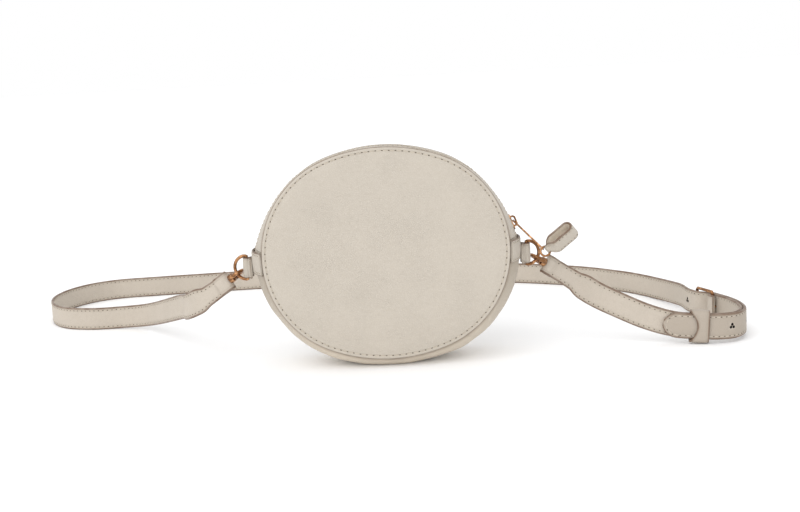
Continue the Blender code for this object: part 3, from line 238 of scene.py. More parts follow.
# Softness of the leather
RIM_ROUND = 0.9 * MM
SEAM_TUCK = 1.1 * MM
SLUMP = 2.6 * MM
SLUMP_MIDDLE = -32 * DEG
SLUMP_SPREAD = 46 * DEG
RIPPLE = 0.35 * MM
RIPPLE_SPACINGS = (17 * MM, 7 * MM)
RIPPLE_EASE = 6 * MM
TUCK_WIDTH = 1.1 * MM
CROWN_SINK = 2.5 * MM
TOP_SETTLES = (0.2 * MM, 1.9 * MM)
SINK_HEIGHTS = (52 * MM, 76 * MM)
# width of the painted shadow line on the gusset beside the panel
SEAM_SHADE = 1.9 * MM
PANEL_ANGLES = 360
PANEL_INSET_RANGE = 80 * MM
PANEL_INSETS = (
    1.2, 1.6, 1.9, 2.15, 2.4, 2.6, 2.8, 3.05, 3.4, 3.8, 4.2, 4.7, 5.3, 6.3, 7.6, 9.2, 11.2, 13.6, 16.4, 19.6,
    23.2, 27.2, 31.4, 35.8, 40.4, 45.2, 50.2, 55.4, 60.6, 65.6, 70.2, 74.2, 77.2, 79)
KEEPER_CORNER = 2.4 * MM
LINING_ANGLES = 160
LINING_CREASE = 0.8 * MM
POCKET_CORNER = 6 * MM
GUSSET_DEPTHS = 26

# Studio: the camera's place and tilt come from matching the photo
CAMERA_PLACE = (0.0096, -0.785, 0.2063)
CAMERA_PITCH = 9.5 * DEG
CAMERA_ROLL = 3.04 * DEG
LENS = 50
SENSOR_WIDTH = 36
FLOOR_SIZE = 60
LAMPS = (("window", 1.0, 60 * DEG, (-0.42, -0.62, 0.66)), ("fill", 0.35, 80 * DEG, (0.2, -0.97, 0.12)))


# ---------------------------------------------------------------- small maths

def spread(low, high, count):
    return [low + (high - low) * i / (count - 1) for i in range(count)]


def steps(start, end, step):
    """Even steps from start to end, no longer than step."""
    count = max(1, math.ceil(abs(end - start) / step))
    return [start + (end - start) * i / count for i in range(count + 1)]


def smooth(value):
    value = min(max(value, 0.0), 1.0)
    return value * value * (3 - 2 * value)


def bell(value, width):
    return math.exp(-(value / width) ** 2)


def catmull(a, b, c, d, t):
    """A place between b and c on the smooth curve through four points."""
    return 0.5 * (2 * b + (c - a) * t + (2 * a - 5 * b + 4 * c - d) * t ** 2
                  + (3 * b - a - 3 * c + d) * t ** 3)


def distances(points):
    """How far along a line of points each of them lies."""
    marks = [0.0]
    for a, b in zip(points, points[1:]):
        marks.append(marks[-1] + (b - a).length)
    return marks


def unevenness(spot, spacing, seed):
    """Soft irregularity between about -1 and 1, with hollows about a spacing apart."""
    return noise.noise(spot / spacing + Vector((seed, 0, 0)))


# ---------------------------------------------------------------- outlines

def oval_radius(angle, half_width, half_height, span):
    """Distance from a four-centre oval's centre to its edge at an angle above +X."""
    step = (half_width - half_height) / (math.sin(span) + math.cos(span) - 1)
    side_radius = half_width - step * math.sin(span)
    end_radius, side_shift, end_drop = side_radius + step, step * math.sin(span), step * math.cos(span)
    across, up = abs(math.cos(angle)), abs(math.sin(angle))
    corner_x = end_radius * math.sin(span)
    corner_z = end_radius * math.cos(span) - end_drop
    if across * corner_z > up * corner_x:
        along, shift, radius = across * side_shift, side_shift, side_radius
    else:
        along, shift, radius = -up * end_drop, end_drop, end_radius
    return along + math.sqrt(along ** 2 - shift ** 2 + radius ** 2)


def panel_radius(angle):
    return oval_radius(angle, PANEL_HALF_WIDTH, PANEL_HALF_HEIGHT, PANEL_TOP_SPAN)


def crown_radius(angle):
    """The crown line's distance from the panel centre: the zip's circle above, an oval below."""
    if math.sin(angle) < 0:
        return oval_radius(angle, CROWN_HALF_WIDTH, CROWN_BOTTOM_REACH, CROWN_BOTTOM_SPAN)
    along = -ZIP_ARC_DROP * math.sin(angle)
    return along + math.sqrt(along ** 2 - ZIP_ARC_DROP ** 2 + ZIP_ARC_RADIUS ** 2)


def slump(angle):
    """How far the gusset sags out at the lower right."""
    away = math.remainder(angle - SLUMP_MIDDLE, 2 * math.pi) / SLUMP_SPREAD
    return SLUMP * (1 - smooth(abs(away)))


def sink(rise):
    """How far the soft top has settled, by its height above the panels' centre."""
    low, high = SINK_HEIGHTS
    return CROWN_SINK * smooth((rise - low) / (high - low))


def settle(rise, depth):
    """How far the whole soft top has settled, more at the back than at the front."""
    low, high = SINK_HEIGHTS
    front, back = TOP_SETTLES
    return (front + (back - front) * (depth / BAG_DEPTH + 0.5)) * smooth((rise - low) / (high - low))


def skin_point(angle, depth, inset, soft=True):
    """A point on the gusset's skin, moved in by inset, with the base pressed flat on the ground."""
    share = min(abs(depth) / GUSSET_HALF_DEPTH, 1)
    rim = panel_radius(angle)
    bulge = crown_radius(angle) - rim
    if soft:
        bulge += slump(angle)
    bulge -= sink((rim + bulge) * math.sin(angle))
    power = 2 + 2.5 * smooth(-math.sin(angle) * 2 - 1) if soft else 2
    radius = rim + (1 - share ** power) * bulge - inset
    if soft:
        radius -= SEAM_TUCK * bell(GUSSET_HALF_DEPTH - abs(depth), TUCK_WIDTH)
        spot = Vector((radius * math.cos(angle), depth, radius * math.sin(angle)))
        ease = smooth((GUSSET_HALF_DEPTH - abs(depth)) / RIPPLE_EASE)
        wide, narrow = RIPPLE_SPACINGS
        radius += RIPPLE * ease * (unevenness(spot, wide, 2) + 0.5 * unevenness(spot, narrow, 5))
    rise = radius * math.sin(angle)
    height = max(PANEL_CENTRE + rise - settle(rise, depth), inset)
    return Vector((radius * math.cos(angle), depth, height))


def zip_frame(angle):
    """Place on the zip's arc, an angle from its top towards +X: X along the arc, Z outwards."""
    out = Vector((math.sin(angle), 0, math.cos(angle)))
    along = Vector((math.cos(angle), 0, -math.sin(angle)))
    spot = Vector((0, 0, PANEL_CENTRE - ZIP_ARC_DROP)) + out * ZIP_ARC_RADIUS
    rise = spot.z - PANEL_CENTRE
    spot.z -= sink(rise) + settle(rise, 0)
    turn = Matrix((along, Vector((0, 1, 0)), out)).transposed().to_4x4()
    return Matrix.Translation(spot) @ turn


def zip_polar(angle):
    """The angle above +X, seen from the panel centre, of a place on the zip's arc."""
    spot = zip_frame(angle).translation
    return math.atan2(spot.z - PANEL_CENTRE, spot.x)


# ---------------------------------------------------------------- meshes and pieces

def shell(name, rings, masks=None, closed=False, sharp=50 * DEG):
    """A closed skin through rings of points, with one list of values per mask."""
    count, total = len(rings[0]), len(rings)
    faces = []
    for i in range(total if closed else total - 1):
        a, b = i * count, (i + 1) % total * count
        for j in range(count):
            k = (j + 1) % count
            faces.append((a + j, a + k, b + k, b + j))
    if not closed:
        faces.append(tuple(range(count)))
        faces.append(tuple(range((total - 1) * count, total * count)))
    mesh = bpy.data.meshes.new(name)
    mesh.from_pydata([point for ring in rings for point in ring], [], faces)
    for key, values in (masks or {}).items():
        mesh.attributes.new(key, "FLOAT", "POINT").data.foreach_set("value", values)
    shape = bmesh.new()
    shape.from_mesh(mesh)
    bmesh.ops.recalc_face_normals(shape, faces=shape.faces)
    shape.to_mesh(mesh)
    shape.free()
    mesh.shade_smooth()
    mesh.set_sharp_from_angle(angle=sharp)
    return mesh


def link(name, data):
    """Puts a mesh, light or camera in the scene."""
    item = bpy.data.objects.new(name, data)
    bpy.context.scene.collection.objects.link(item)
    return item


def piece(name, mesh, body, surface=None, stands_for=()):
    """Puts a mesh in the scene so that it rides on a body and stands for solid pieces."""
    item = link(name, mesh)
    if surface is not None:
        mesh.materials.clear()
        mesh.materials.append(surface)
    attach(item, body)
    if stands_for:
        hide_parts(*stands_for)
    return item


def settled(item):
    """The item's mesh with its modifiers worked in. The item itself is removed."""
    graph = bpy.context.evaluated_depsgraph_get()
    mesh = bpy.data.meshes.new_from_object(item.evaluated_get(graph))
    bpy.data.objects.remove(item, do_unlink=True)
    return mesh


def cut(mesh, surface, cutters):
    """The mesh with the cutters' shapes taken out of it and near-black walls, painted shade, where they were.
    """
    mesh.materials.append(surface)
    target = link("cut", mesh)
    for cutter in cutters:
        cutter.materials.append(PUNCH_SHADE)
    tools = [link("cutter", cutter) for cutter in cutters]
    for tool in tools:
        step = target.modifiers.new("cut", "BOOLEAN")
        step.operation = "DIFFERENCE"
        step.solver = "EXACT"
        step.material_mode = "TRANSFER"
        step.object = tool
    result = settled(target)
    for tool in tools:
        bpy.data.objects.remove(tool, do_unlink=True)
    result.shade_smooth()
    result.set_sharp_from_angle(angle=50 * DEG)
    return result


def given_by(name, shape):
    """A mesh with a working shape's faces. The shape is freed."""
    mesh = bpy.data.meshes.new(name)
    shape.to_mesh(mesh)
    shape.free()
    return mesh


def rod(radius, start, end, sides=16):
    """A round bar between two points."""
    along = end - start
    turn = along.to_track_quat("Z", "Y").to_matrix().to_4x4()
    shape = bmesh.new()
    bmesh.ops.create_cone(shape, cap_ends=True, segments=sides, radius1=radius, radius2=radius,
                          depth=along.length, matrix=Matrix.Translation((start + end) / 2) @ turn)
    return given_by("rod", shape)


def block(low, high, place):
    """A box between two corners, placed."""
    shape = bmesh.new()
    size = [b - a for a, b in zip(low, high)]
    middle = [(a + b) / 2 for a, b in zip(low, high)]
    fit = Matrix.Translation(middle) @ Matrix.Diagonal((*size, 1))
    bmesh.ops.create_cube(shape, size=1, matrix=place @ fit)
    return given_by("block", shape)


# ---------------------------------------------------------------- node trees

class Wire:
    """A value in a node tree that can be used in sums."""

    def __init__(self, net, socket):
        self.net = net
        self.socket = socket

    def sum(self, operation, first, second):
        return self.net.add("ShaderNodeMath", {"operation": operation}, {0: first, 1: second})

    def __add__(self, other):
        return self.sum("ADD", self, other)

    def __radd__(self, other):
        return self.sum("ADD", other, self)

    def __sub__(self, other):
        return self.sum("SUBTRACT", self, other)

    def __rsub__(self, other):
        return self.sum("SUBTRACT", other, self)

    def __mul__(self, other):
        return self.sum("MULTIPLY", self, other)

    def __rmul__(self, other):
        return self.sum("MULTIPLY", other, self)


class Net:
    """Adds nodes to a tree and feeds their inputs with values or other nodes' results."""

    def __init__(self, tree):
        self.tree = tree

    def feed(self, socket, value):
        if isinstance(value, Wire):
            self.tree.links.new(value.socket, socket)
        elif isinstance(value, list):
            for one in value:
                self.feed(socket, one)
        else:
            socket.default_value = value

    def add(self, kind, settings=None, values=None, out=0):
        node = self.tree.nodes.new(kind)
        for key, value in (settings or {}).items():
            setattr(node, key, value)
        for key, value in (values or {}).items():
            self.feed(node.inputs[key], value)
        return Wire(self, node.outputs[out])

    def mix(self, share, first, second):
        """A colour between two colours."""
        return self.add("ShaderNodeMix", {"data_type": "RGBA"}, {0: share, 6: first, 7: second}, 2)

    def ramp(self, value, low, high):
        """A value turned into 0 to 1 between low and high, with soft ends."""
        return self.add("ShaderNodeMapRange", {"interpolation_type": "SMOOTHSTEP"},
                        {"Value": value, "From Min": low, "From Max": high})

    def noise(self, where, scale, detail=2.0, rough=0.5):
        return self.add("ShaderNodeTexNoise", None,
                        {"Vector": where, "Scale": scale, "Detail": detail, "Roughness": rough})

    def place(self):
        """The place on the piece, in Object coordinates."""
        return self.add("ShaderNodeTexCoord", None, None, 3)

    def bump(self, shader, strength, distance, height):
        """Roughens a shader's surface by a height."""
        self.feed(shader.inputs["Normal"], self.add(
            "ShaderNodeBump", None, {"Strength": strength, "Distance": distance, "Height": height}))

    def attribute(self, name):
        return self.add("ShaderNodeAttribute", {"attribute_name": name}, None, 2)


def geometry_tree(name, inputs):
    """An empty geometry tree with named inputs, its net and its inputs by name."""
    tree = bpy.data.node_groups.new(name, "GeometryNodeTree")
    for label, kind in inputs:
        tree.interface.new_socket(name=label, in_out="INPUT", socket_type="NodeSocket" + kind)
    tree.interface.new_socket(name="Result", in_out="OUTPUT", socket_type="NodeSocketGeometry")
    net = Net(tree)
    source = tree.nodes.new("NodeGroupInput")
    given = {socket.name: Wire(net, socket) for socket in source.outputs if socket.name}
    return net, given


def along_path(net, given, shape, seed):
    """Repeats a shape along the path at an even pitch, its X along the path and Z outwards."""
    line = net.add("GeometryNodeMeshToCurve", None, {"Mesh": given["Path"]})
    line = net.add("GeometryNodeResampleCurve", {"mode": "LENGTH"}, {"Curve": line, "Length": given["Pitch"]})
    tangent = net.add("GeometryNodeInputTangent")
    outwards = net.add("GeometryNodeInputNamedAttribute", {"data_type": "FLOAT_VECTOR"}, {"Name": "out"})
    turn = net.add("FunctionNodeAlignRotationToVector", {"axis": "X"}, {"Vector": tangent})
    turn = net.add("FunctionNodeAlignRotationToVector", {"axis": "Z", "pivot_axis": "X"},
                   {"Rotation": turn, "Vector": outwards})
    size = net.add("FunctionNodeRandomValue", {"data_type": "FLOAT_VECTOR"},
                   {"Min": (0.94, 0.9, 0.9), "Max": (1.03, 1.08, 1.08), "Seed": seed})
    placed = net.add("GeometryNodeInstanceOnPoints", None,
                     {"Points": line, "Instance": shape, "Rotation": turn, "Scale": size})
    whole = net.add("GeometryNodeRealizeInstances", None, {"Geometry": placed})
    result = net.tree.nodes.new("NodeGroupOutput")
    net.feed(result.inputs[0], whole)


def stitch_tree():
    """A line of stitches: each a thread that dips into the leather, with a dark disc after it as the needle
    hole's painted shade.
    """
    net, given = geometry_tree("stitch line", (
        ("Path", "Geometry"), ("Pitch", "Float"), ("Thread", "Float"), ("Rise", "Float"), ("Hole", "Float"),
        ("Seed", "Int"), ("Thread finish", "Material"), ("Hole shade", "Material")))
    reach = given["Pitch"] * 0.37
    low = given["Rise"] * -1.0
    start = net.add("ShaderNodeCombineXYZ", None, {"X": reach * -1.0, "Z": low})
    peak = net.add("ShaderNodeCombineXYZ", None, {"Z": given["Rise"] * 2.0})
    end = net.add("ShaderNodeCombineXYZ", None, {"X": reach, "Z": low})
    arch = net.add("GeometryNodeCurveQuadraticBezier", None,
                   {"Resolution": 5, "Start": start, "Middle": peak, "End": end})
    round_section = net.add("GeometryNodeCurvePrimitiveCircle", {"mode": "RADIUS"},
                            {"Resolution": 6, "Radius": given["Thread"]})
    thread = net.add("GeometryNodeCurveToMesh", None,
                     {"Curve": arch, "Profile Curve": round_section, "Fill Caps": True})
    thread = net.add("GeometryNodeSetMaterial", None,
                     {"Geometry": thread, "Material": given["Thread finish"]})
    ball = net.add("GeometryNodeMeshUVSphere", None, {"Segments": 8, "Rings": 4, "Radius": given["Hole"]})
    shift = net.add("ShaderNodeCombineXYZ", None, {"X": given["Pitch"] * 0.5})
    hole = net.add("GeometryNodeTransform", None,
                   {"Geometry": ball, "Translation": shift, "Scale": (1.3, 0.85, 0.3)})
    hole = net.add("GeometryNodeSetMaterial", None, {"Geometry": hole, "Material": given["Hole shade"]})
    stitch = net.add("GeometryNodeJoinGeometry", None, {"Geometry": [thread, hole]})
    along_path(net, given, stitch, given["Seed"])
    return net.tree


def tooth_tree():
    """A row of zip teeth: each a block on the tape's bead with a round head that meshes."""
    net, given = geometry_tree("zip teeth", (
        ("Path", "Geometry"), ("Pitch", "Float"), ("Size", "Vector"), ("Head", "Float"), ("Seed", "Int"),
        ("Finish", "Material")))
    body = net.add("GeometryNodeMeshCube", None, {"Size": given["Size"]})
    head = net.add("GeometryNodeMeshUVSphere", None, {"Segments": 10, "Rings": 6, "Radius": given["Head"]})
    shift = net.add("ShaderNodeVectorMath", {"operation": "MULTIPLY"}, {0: given["Size"], 1: (0.0, 0.5, 0.0)})
    head = net.add("GeometryNodeTransform", None,
                   {"Geometry": head, "Translation": shift, "Scale": (0.8, 1.0, 1.0)})
    tooth = net.add("GeometryNodeJoinGeometry", None, {"Geometry": [body, head]})
    tooth = net.add("GeometryNodeSetMaterial", None, {"Geometry": tooth, "Material": given["Finish"]})
    along_path(net, given, tooth, given["Seed"])
    return net.tree


def path_mesh(name, runs):
    """Lines of edges, each run a list of (place, outward side) and whether it is closed."""
    points, outs, edges = [], [], []
    for run, closed in runs:
        first = len(points)
        for spot, out in run:
            points.append(spot)
            outs.extend(out)
        edges += [(first + i, first + i + 1) for i in range(len(run) - 1)]
        if closed:
            edges.append((len(points) - 1, first))
    mesh = bpy.data.meshes.new(name)
    mesh.from_pydata(points, edges, [])
    mesh.attributes.new("out", "FLOAT_VECTOR", "POINT").data.foreach_set("vector", outs)
    return mesh


def grown(name, runs, tree, values):
    """The mesh that a geometry tree grows along runs of points."""
    item = link(name, path_mesh(name, runs))
    step = item.modifiers.new(name, "NODES")
    step.node_group = tree
    for socket in tree.interface.items_tree:
        if socket.in_out == "INPUT" and socket.name in values:
            step[socket.identifier] = values[socket.name]
    mesh = settled(item)
    mesh.shade_smooth()
    mesh.set_sharp_from_angle(angle=60 * DEG)
    return mesh


def stitches(name, runs, body, pitch, seed=1, hole=NEEDLE_HOLE):
    values = {"Pitch": pitch, "Thread": THREAD_RADIUS, "Rise": THREAD_RADIUS, "Hole": hole, "Seed": seed,
              "Thread finish": THREAD, "Hole shade": HOLE_SHADE}
    return piece(name, grown(name, runs, STITCH_TREE, values), body)


# ---------------------------------------------------------------- finishes

def finish(name):
    """A new material with its net and main shader."""
    made = bpy.data.materials.new(name)
    made.use_nodes = True
    return made, Net(made.node_tree), made.node_tree.nodes["Principled BSDF"]


def leather(name, tone, grain, relief, gloss, painted_light_tone=None):
    """Pebbled leather with painted cut edges, painted shade in its seams and sewn channels, and a second tone
    that is painted light on some pieces and painted shade on others, where the piece's attribute asks for it.
    """
    made, net, shader = finish(name)
    where = net.place()
    drift = net.noise(where, 260.0, 3.0)
    pushed = net.add("ShaderNodeVectorMath", {"operation": "MULTIPLY_ADD"},
                     {0: net.add("ShaderNodeCombineXYZ", None, {"X": drift, "Y": drift, "Z": drift}),
                      1: (0.0008, 0.0008, 0.0008), 2: where})
    cells = net.add("ShaderNodeTexVoronoi", {"feature": "DISTANCE_TO_EDGE"},
                    {"Vector": pushed, "Scale": grain})
    pebble = net.ramp(cells, 0.0, 0.28)
    patch = net.noise(where, 34.0, 3.0)
    fine = net.noise(where, 2600.0, 2.0)
    drawn = net.add("ShaderNodeMapping", None, {"Vector": where, "Scale": (1.0, 1.0, 2.6)})
    folds = net.noise(drawn, 190.0, 4.0, 0.6)
    depth = net.ramp(patch, 0.3, 0.7) * 0.6 + 0.4
    height = pebble * depth * 0.6 + fine * 0.12 + folds * 0.7
    painted = net.attribute("edge")
    recess_shade = net.attribute("recess_shade")
    colour = net.mix((1.0 - pebble) * 0.2, tone, CREAM_SHADE)
    colour = net.mix(net.ramp(net.noise(where, 320.0, 3.0), 0.4, 0.8) * 0.13, colour, CREAM_SHADE)
    # painted shade in seams, sewn channels and hidden faces, as the piece's attribute marks them
    colour = net.mix(recess_shade * 0.42, colour, CREAM_SHADE)
    # painted light and shade: where the attribute asks, the colour moves to the second tone, lighter under
    # the gusset and inside the pull, darker at the strap's tip end and on the keeper
    if painted_light_tone:
        colour = net.mix(net.attribute("wear_and_painted_light") * 0.6, colour, painted_light_tone)
    # real wear only here: the edge paint is patchy
    wear_and_painted_light = net.ramp(net.noise(where, 150.0, 2.0), 0.35, 0.65) * 0.25 + 0.75
    # edge paint on cut edges; on the gusset beside the panel the same colour is a painted shadow line
    colour = net.mix(painted * wear_and_painted_light, colour, EDGE_PAINT_AND_SEAM_SHADOW)
    net.feed(shader.inputs["Base Color"], colour)
    net.feed(shader.inputs["Roughness"], (1.0 - pebble) * 0.12 + gloss + 0.04 - painted * 0.08)
    net.bump(shader, relief, 0.00034, height * (1.0 - painted))
    shader.inputs["Specular IOR Level"].default_value = 0.4
    return made


def metal(name, tone, dark, rough):
    """Polished plated metal with faint wear, fine scratches and darker patches of painted reflection."""
    made, net, shader = finish(name)
    where = net.place()
    wear = net.noise(where, 420.0, 3.0)
    drawn = net.add("ShaderNodeMapping", None, {"Vector": where, "Scale": (1.0, 1.0, 14.0)})
    scratch = net.noise(drawn, 700.0, 2.0)
    # painted reflection: darker patches standing in for dark surroundings mirrored in the metal
    painted_reflection = net.ramp(net.noise(where, 300.0, 1.0), 0.36, 0.54)
    net.feed(shader.inputs["Base Color"], net.mix(net.ramp(wear, 0.45, 0.75) * 0.2 + painted_reflection * 0.7, tone, dark))
    net.feed(shader.inputs["Roughness"], wear * 0.12 + scratch * 0.08 + rough)
    net.bump(shader, 0.12, 0.0001, scratch)
    shader.inputs["Metallic"].default_value = 1.0
    return made


def woven(name, tone, shade, threads, rough):
    """Woven cloth: two sets of threads crossing."""
    made, net, shader = finish(name)
    where = net.place()
    warp = net.add("ShaderNodeTexWave", {"wave_type": "BANDS", "bands_direction": "Y"},
                   {"Vector": where, "Scale": threads, "Distortion": 0.4}, 1)
    weft = net.add("ShaderNodeTexWave", {"wave_type": "BANDS", "bands_direction": "DIAGONAL"},
                   {"Vector": where, "Scale": threads, "Distortion": 0.6}, 1)
    fibre = net.noise(where, 3000.0, 2.0)
    weave = warp * 0.5 + weft * 0.5
    net.feed(shader.inputs["Base Color"], net.mix(weave * 0.5 + fibre * 0.2, shade, tone))
    net.bump(shader, 0.5, 0.0002, weave + fibre * 0.3)
    shader.inputs["Roughness"].default_value = rough
    return made


def plain(name, tone, shade, spots, rough):
    """A matt surface with slight mottling."""
    made, net, shader = finish(name)
    where = net.place()
    mottle = net.noise(where, spots, 3.0)
    net.feed(shader.inputs["Base Color"], net.mix(mottle, tone, shade))
    net.bump(shader, 0.3, 0.0001, mottle)
    shader.inputs["Roughness"].default_value = rough
    return made


# ---------------------------------------------------------------- the bag's body

def oval_arcs(inset, count):
    """Distance along the oval at an inset, for each of count angles, and the whole length."""
    spots = []
    for i in range(count + 1):
        angle = 2 * math.pi * i / count
        radius = panel_radius(angle) - inset
        spots.append(Vector((radius * math.cos(angle), radius * math.sin(angle))))
    marks = distances(spots)
    return marks, marks[-1]


def panel_profile():
    """Pairs of inset from the rim and height above the panel's back, from back centre to front centre."""
    thick = PANEL_THICKNESS
    profile = [(78 * MM, 0), (40 * MM, 0), (10 * MM, 0), (1.2 * MM, 0), (0.35 * MM, 0.05 * MM), (0, 0.4 * MM)]
    for t in spread(0, 90 * DEG, 7):
        profile.append((RIM_ROUND * (1 - math.cos(t)), thick - RIM_ROUND * (1 - math.sin(t))))
    stitch = PANEL_STITCH_INSET
    for inset in PANEL_INSETS:
        inset *= MM
        share = 1 - inset / PANEL_INSET_RANGE
        rise = thick + PANEL_DOME * (1 - share ** 2) - CHANNEL_DEPTH * bell(inset - stitch, CHANNEL_WIDTH)
        rise += 0.5 * MM * smooth((inset - stitch) / (6 * MM))
        rise += 0.1 * MM * bell(inset - 1.9 * MM, 0.7 * MM)
        profile.append((inset, rise))
    return profile


def make_panel(name, side):
    """A padded leather face with a rounded rim, a sewn channel and soft unevenness."""
    count = PANEL_ANGLES
    marks, length = oval_arcs(PANEL_STITCH_INSET, count)
    pitch = length / round(length / PANEL_STITCH_PITCH)
    rings, recess_shade, edge = [], [], []
    back = BAG_DEPTH / 2 - PANEL_THICKNESS
    for inset, rise in panel_profile():
        ring = []
        centred = smooth((inset - 5 * MM) / (20 * MM))
        front = rise > PANEL_THICKNESS * 0.9
        for i in range(count):
            angle = 2 * math.pi * i / count
            rim = panel_radius(angle)
            radius = rim - inset * (1 - centred) - centred * inset * rim / PANEL_INSET_RANGE
            high = radius * math.sin(angle)
            spot = Vector((radius * math.cos(angle), side * (back + rise),
                           PANEL_CENTRE + high - settle(high, side * BAG_DEPTH / 2)))
            if front:
                pull = 0.5 + 0.5 * math.cos(2 * math.pi * marks[i] / pitch)
                soft = 0.10 * MM * pull * bell(inset - PANEL_STITCH_INSET - 0.5 * MM, 1.6 * MM)
                ease = smooth((inset - 3 * MM) / (9 * MM))
                soft += 0.12 * MM * ease * unevenness(spot, 42 * MM, 1)
                soft += 0.07 * MM * ease * unevenness(spot, 12 * MM, 8)
                spot.y += side * soft
            ring.append(spot)
            # painted shade: darker in the sewn channel, and under the rim towards the panel's back
            if front:
                recess_shade.append(bell(inset - PANEL_STITCH_INSET, 0.5 * MM) * 0.5)
            else:
                recess_shade.append(1 - smooth(rise / (1.2 * MM)))
            edge.append(0.85 * (1 - smooth((inset - 0.25 * MM) / (0.35 * MM))))
        rings.append(ring)
    mesh = shell(name, rings, {"recess_shade": recess_shade, "edge": edge})
    piece(name + "_leather", mesh, "bag", LEATHER, (name,))
    run = []
    lift = back + PANEL_THICKNESS + PANEL_DOME * 0.08 - CHANNEL_DEPTH * 0.62
    for i in range(count):
        angle = 2 * math.pi * i / count
        radius = panel_radius(angle) - PANEL_STITCH_INSET
        high = radius * math.sin(angle)
        height = PANEL_CENTRE + high - settle(high, side * BAG_DEPTH / 2)
        run.append((Vector((radius * math.cos(angle), side * lift, height)), Vector((0, side, 0))))
    stitches(name + "_stitching", [(run, True)], "bag", pitch * 0.9999)


def skin_mesh(name, start, end, depths, inset, thickness, step):
    """A strip of soft skin between two angles, with painted shade and a painted shadow line along its long
    edges, and painted light underneath.
    """
    rings, recess_shade, edge, bounce_light = [], [], [], []
    for angle in steps(start, end, step):
        outer = [skin_point(angle, depth, inset) for depth in depths]
        inner = [skin_point(angle, depth, inset + thickness) for depth in reversed(depths)]
        rings.append(outer + inner)
        away = [GUSSET_HALF_DEPTH - abs(depth) for depth in depths]
        # painted shade: darker near the seam with the panel, and all over the inner face
        recess_shade += [bell(gap, 3.2 * MM) for gap in away] + [1.0] * len(depths)
        # painted shadow: a dark line in the edge paint's colour on the gusset beside the panel's rim
        edge += [0.8 - 0.8 * smooth((gap - 0.9 * MM) / (SEAM_SHADE - 0.9 * MM)) for gap in away]
        edge += [0.0] * len(depths)
        # painted light: lighter towards the bottom, standing in for light thrown up from the floor
        bounce_light += [smooth(-0.1 - 1.1 * math.sin(angle))] * (2 * len(depths))
    return shell(name, rings, {"recess_shade": recess_shade, "edge": edge, "wear_and_painted_light": bounce_light})


def eased(low, high, count, strength=0.75):
    """Places from low to high that lie closer together near both ends."""
    middle, half = (low + high) / 2, (high - low) / 2
    return [middle + half * ((1 - strength) * t + strength * math.sin(t * math.pi / 2))
            for t in spread(-1, 1, count)]


def make_gusset():
    """The soft band under the bag, and the two strips beside the zip with their stitching."""
    right = zip_polar(ZIP_HALF_SPAN)
    joint = SEAT_GAP / CROWN_HALF_WIDTH
    depths = eased(-GUSSET_HALF_DEPTH, GUSSET_HALF_DEPTH, GUSSET_DEPTHS)
    mesh = skin_mesh("gusset_lower", math.pi - right + joint, 2 * math.pi + right - joint, depths, 0,
                     GUSSET_THICKNESS, 1 * DEG)
    piece("gusset_leather", mesh, "bag", SHADED_GUSSET_LEATHER, ("gusset_lower",))
    for side, word in ((-1, "front"), (1, "back")):
        low, high = sorted((side * ZIP_CHANNEL_WIDTH / 2, side * GUSSET_HALF_DEPTH))
        name = "gusset_top_" + word
        mesh = skin_mesh(name, right, math.pi - right, eased(low, high, 14), 0, GUSSET_THICKNESS, 1 * DEG)
        piece(name + "_leather", mesh, "bag", LEATHER, (name,))
        run = []
        for angle in steps(right + 2 * joint, math.pi - right - 2 * joint, 2 * DEG):
            spot = skin_point(angle, side * (ZIP_CHANNEL_WIDTH / 2 + TOP_STITCH_INSET), -0.05 * MM)
            run.append((spot, Vector((math.cos(angle), 0, math.sin(angle)))))
        stitches(name + "_stitching", [(run, False)], "bag", TOP_STITCH_PITCH, 2,
                 NEEDLE_HOLE / 2)


def make_zip():
    """Woven tapes with a corded edge, and rows of fine metal teeth that mesh."""
    right = zip_polar(ZIP_HALF_SPAN)
    joint = SEAT_GAP / CROWN_HALF_WIDTH
    edge = TAPE_SPLIT / 2
    shoulder = edge + BEAD_WIDTH
    bottom = TAPE_INSET + TAPE_THICKNESS
    corners = ((edge, BEAD_SINK + 0.4 * MM), (edge + 0.4 * MM, BEAD_SINK), (shoulder - 0.4 * MM, BEAD_SINK),
               (shoulder, BEAD_SINK + 0.4 * MM), (shoulder + 0.2 * MM, TAPE_INSET),
               (edge + TAPE_WIDTH, TAPE_INSET), (edge + TAPE_WIDTH, bottom), (shoulder, bottom),
               (shoulder, BEAD_SINK + BEAD_THICKNESS), (edge, BEAD_SINK + BEAD_THICKNESS))
    for side, word in ((-1, "front"), (1, "back")):
        name = "zip_tape_" + word
        rings = [[skin_point(angle, side * depth, inset, False) for depth, inset in corners]
                 for angle in steps(right + joint, math.pi - right - joint, 1.5 * DEG)]
        piece(name + "_cloth", shell(name, rings), "bag", TAPE, (name,))
        start = (0.25 + 0.5 * (side > 0)) * TOOTH_PITCH / ZIP_ARC_RADIUS
        span = ZIP_HALF_SPAN - 4.5 * MM / ZIP_ARC_RADIUS
        run = []
        for angle in steps(start - span, span, 2 * DEG):
            angle = side * angle
            spot = zip_frame(angle) @ Vector((0, side * TOOTH_OFFSET, -BEAD_SINK - TOOTH_SINK))
            run.append((spot, zip_frame(angle).to_3x3() @ Vector((0, 0, 1))))
        values = {"Pitch": TOOTH_PITCH, "Size": Vector(TOOTH_SIZE), "Head": TOOTH_HEAD, "Seed": 3,
                  "Finish": GOLD}
        name = "zip_teeth_" + word
        piece(name, grown(name, [(run, False)], TOOTH_TREE, values), "bag")


